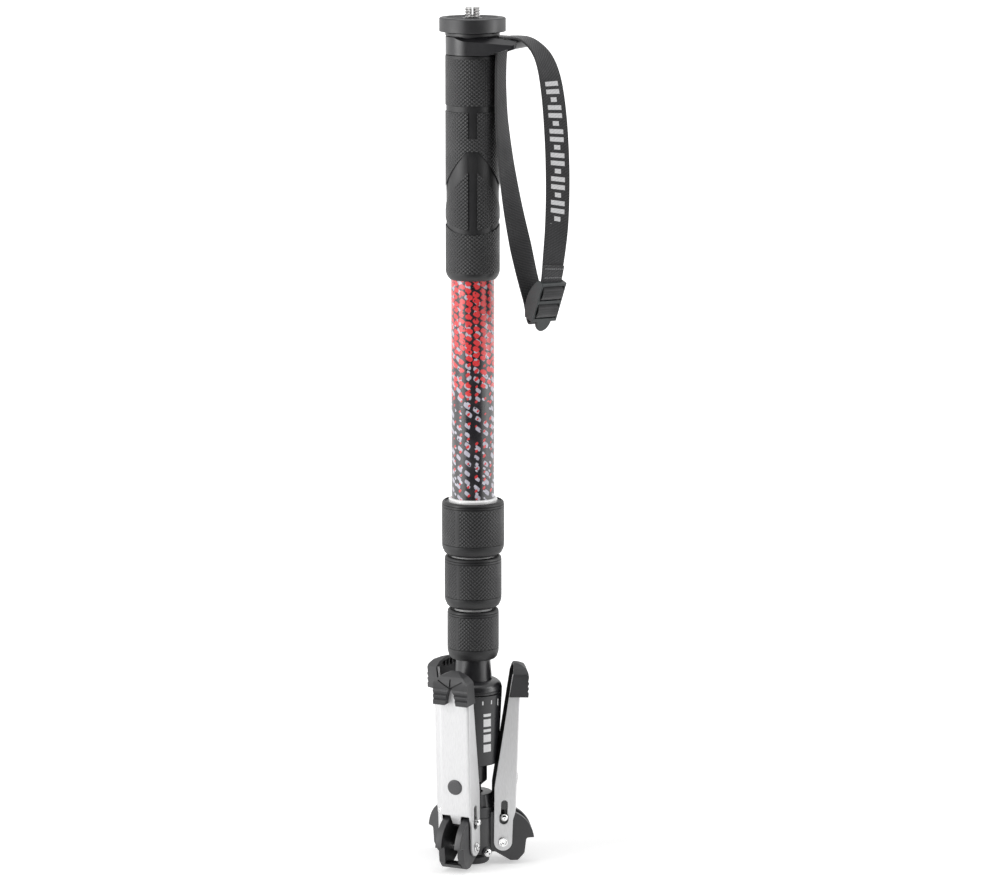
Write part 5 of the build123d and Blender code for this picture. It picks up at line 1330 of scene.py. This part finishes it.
combine(legPad, block("cut", (-fitHalf, -fitFace, 60), (fitHalf, 5, leg["length"] + pad["gap"])))
hollow = pad["hollow"] + [(0, pad["hollowTop"])] + mirrored(pad["hollow"])
combine(legPad, slab("cut", roundCorners(hollow, pad["hollowRadii"]), "y", -6.0, 5))
notchShape = [(-x, z) for x, z in pad["notch"]] + [(0, pad["notchTop"])] + list(reversed(pad["notch"]))
combine(legPad, slab("cut", notchShape, "y", -20, -leg["face"] + 0.5))
combine(legPad, block("cut", (-pad["groove"], -20, 103.0), (pad["groove"], grooveFloor, 109.6)))
for turn in (-pad["fanTurn"], pad["fanTurn"] - 180):
    groove = block("cut", (pad["fanStart"], -20, -pad["fanGroove"]),
                   (pad["fanReach"], grooveFloor, pad["fanGroove"]))
    combine(legPad, moved(groove, (0, 0, pad["fanLevel"]), (0, turn, 0)))
cleaned(legPad, 0.5)
eased(legPad, 0.22, 2, 30)
ribs = [slab("rib", pad["rib"], "x", x - pad["ribHalf"], x + pad["ribHalf"]) for x in pad["ribs"]]
for rib in ribs:   # fine ribs inside the hollow
    combine(legPad, rib, "UNION")
print("leg pad built")

legPieces = [   # piece, name, body, slot, finish and the CAD node that it stands for
    (channel, "legChannel", "leg_{}", "leg_aluminium", finishes["legAluminium"], "leg_{}_channel"),
    (webPlug, "legPlug", "leg_{}", "plug_plastic", finishes["plugPlastic"], "leg_{}_plug"),
    (legPad, "legPad", "leg_{}", "foot_rubber", finishes["padRubber"], "leg_{}_pad"),
    (legLatch, "legLatch", "latch_{}", "bright_screws", finishes["chrome"], "leg_{}_latch"),
    (latchCarrier, "latchCarrier", "latch_{}", "plug_plastic", finishes["tubeBlack"], None),
    (legPivot, "legPivot", "base", "bright_screws", finishes["chrome"], "leg_{}_pivot"),
]
for number, azimuth in enumerate(base["azimuths"], 1):
    place = around(azimuth, base["pivotReach"], base["pivotLevel"])
    for piece, name, body, slotName, finish, node in legPieces:
        splay = 0 if piece is legPivot else base["splay"]
        twin = moved(copied(piece, f"{name}{number}"), place, (splay, 0, azimuth))
        settled(twin, body.format(number), finish, [node.format(number)] if node else (), 32)
for pieces in legPieces:
    bpy.data.objects.remove(pieces[0])
print("legs placed")


# the CAD pieces left showing get finishes

for name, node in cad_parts.items():
    if not node.hide_render:
        node.data.materials.clear()
        node.data.materials.append(finishes["steel" if name == "cartridge_rotor" else "innerPlastic"])
bpy.context.scene.view_settings.view_transform = "Standard"
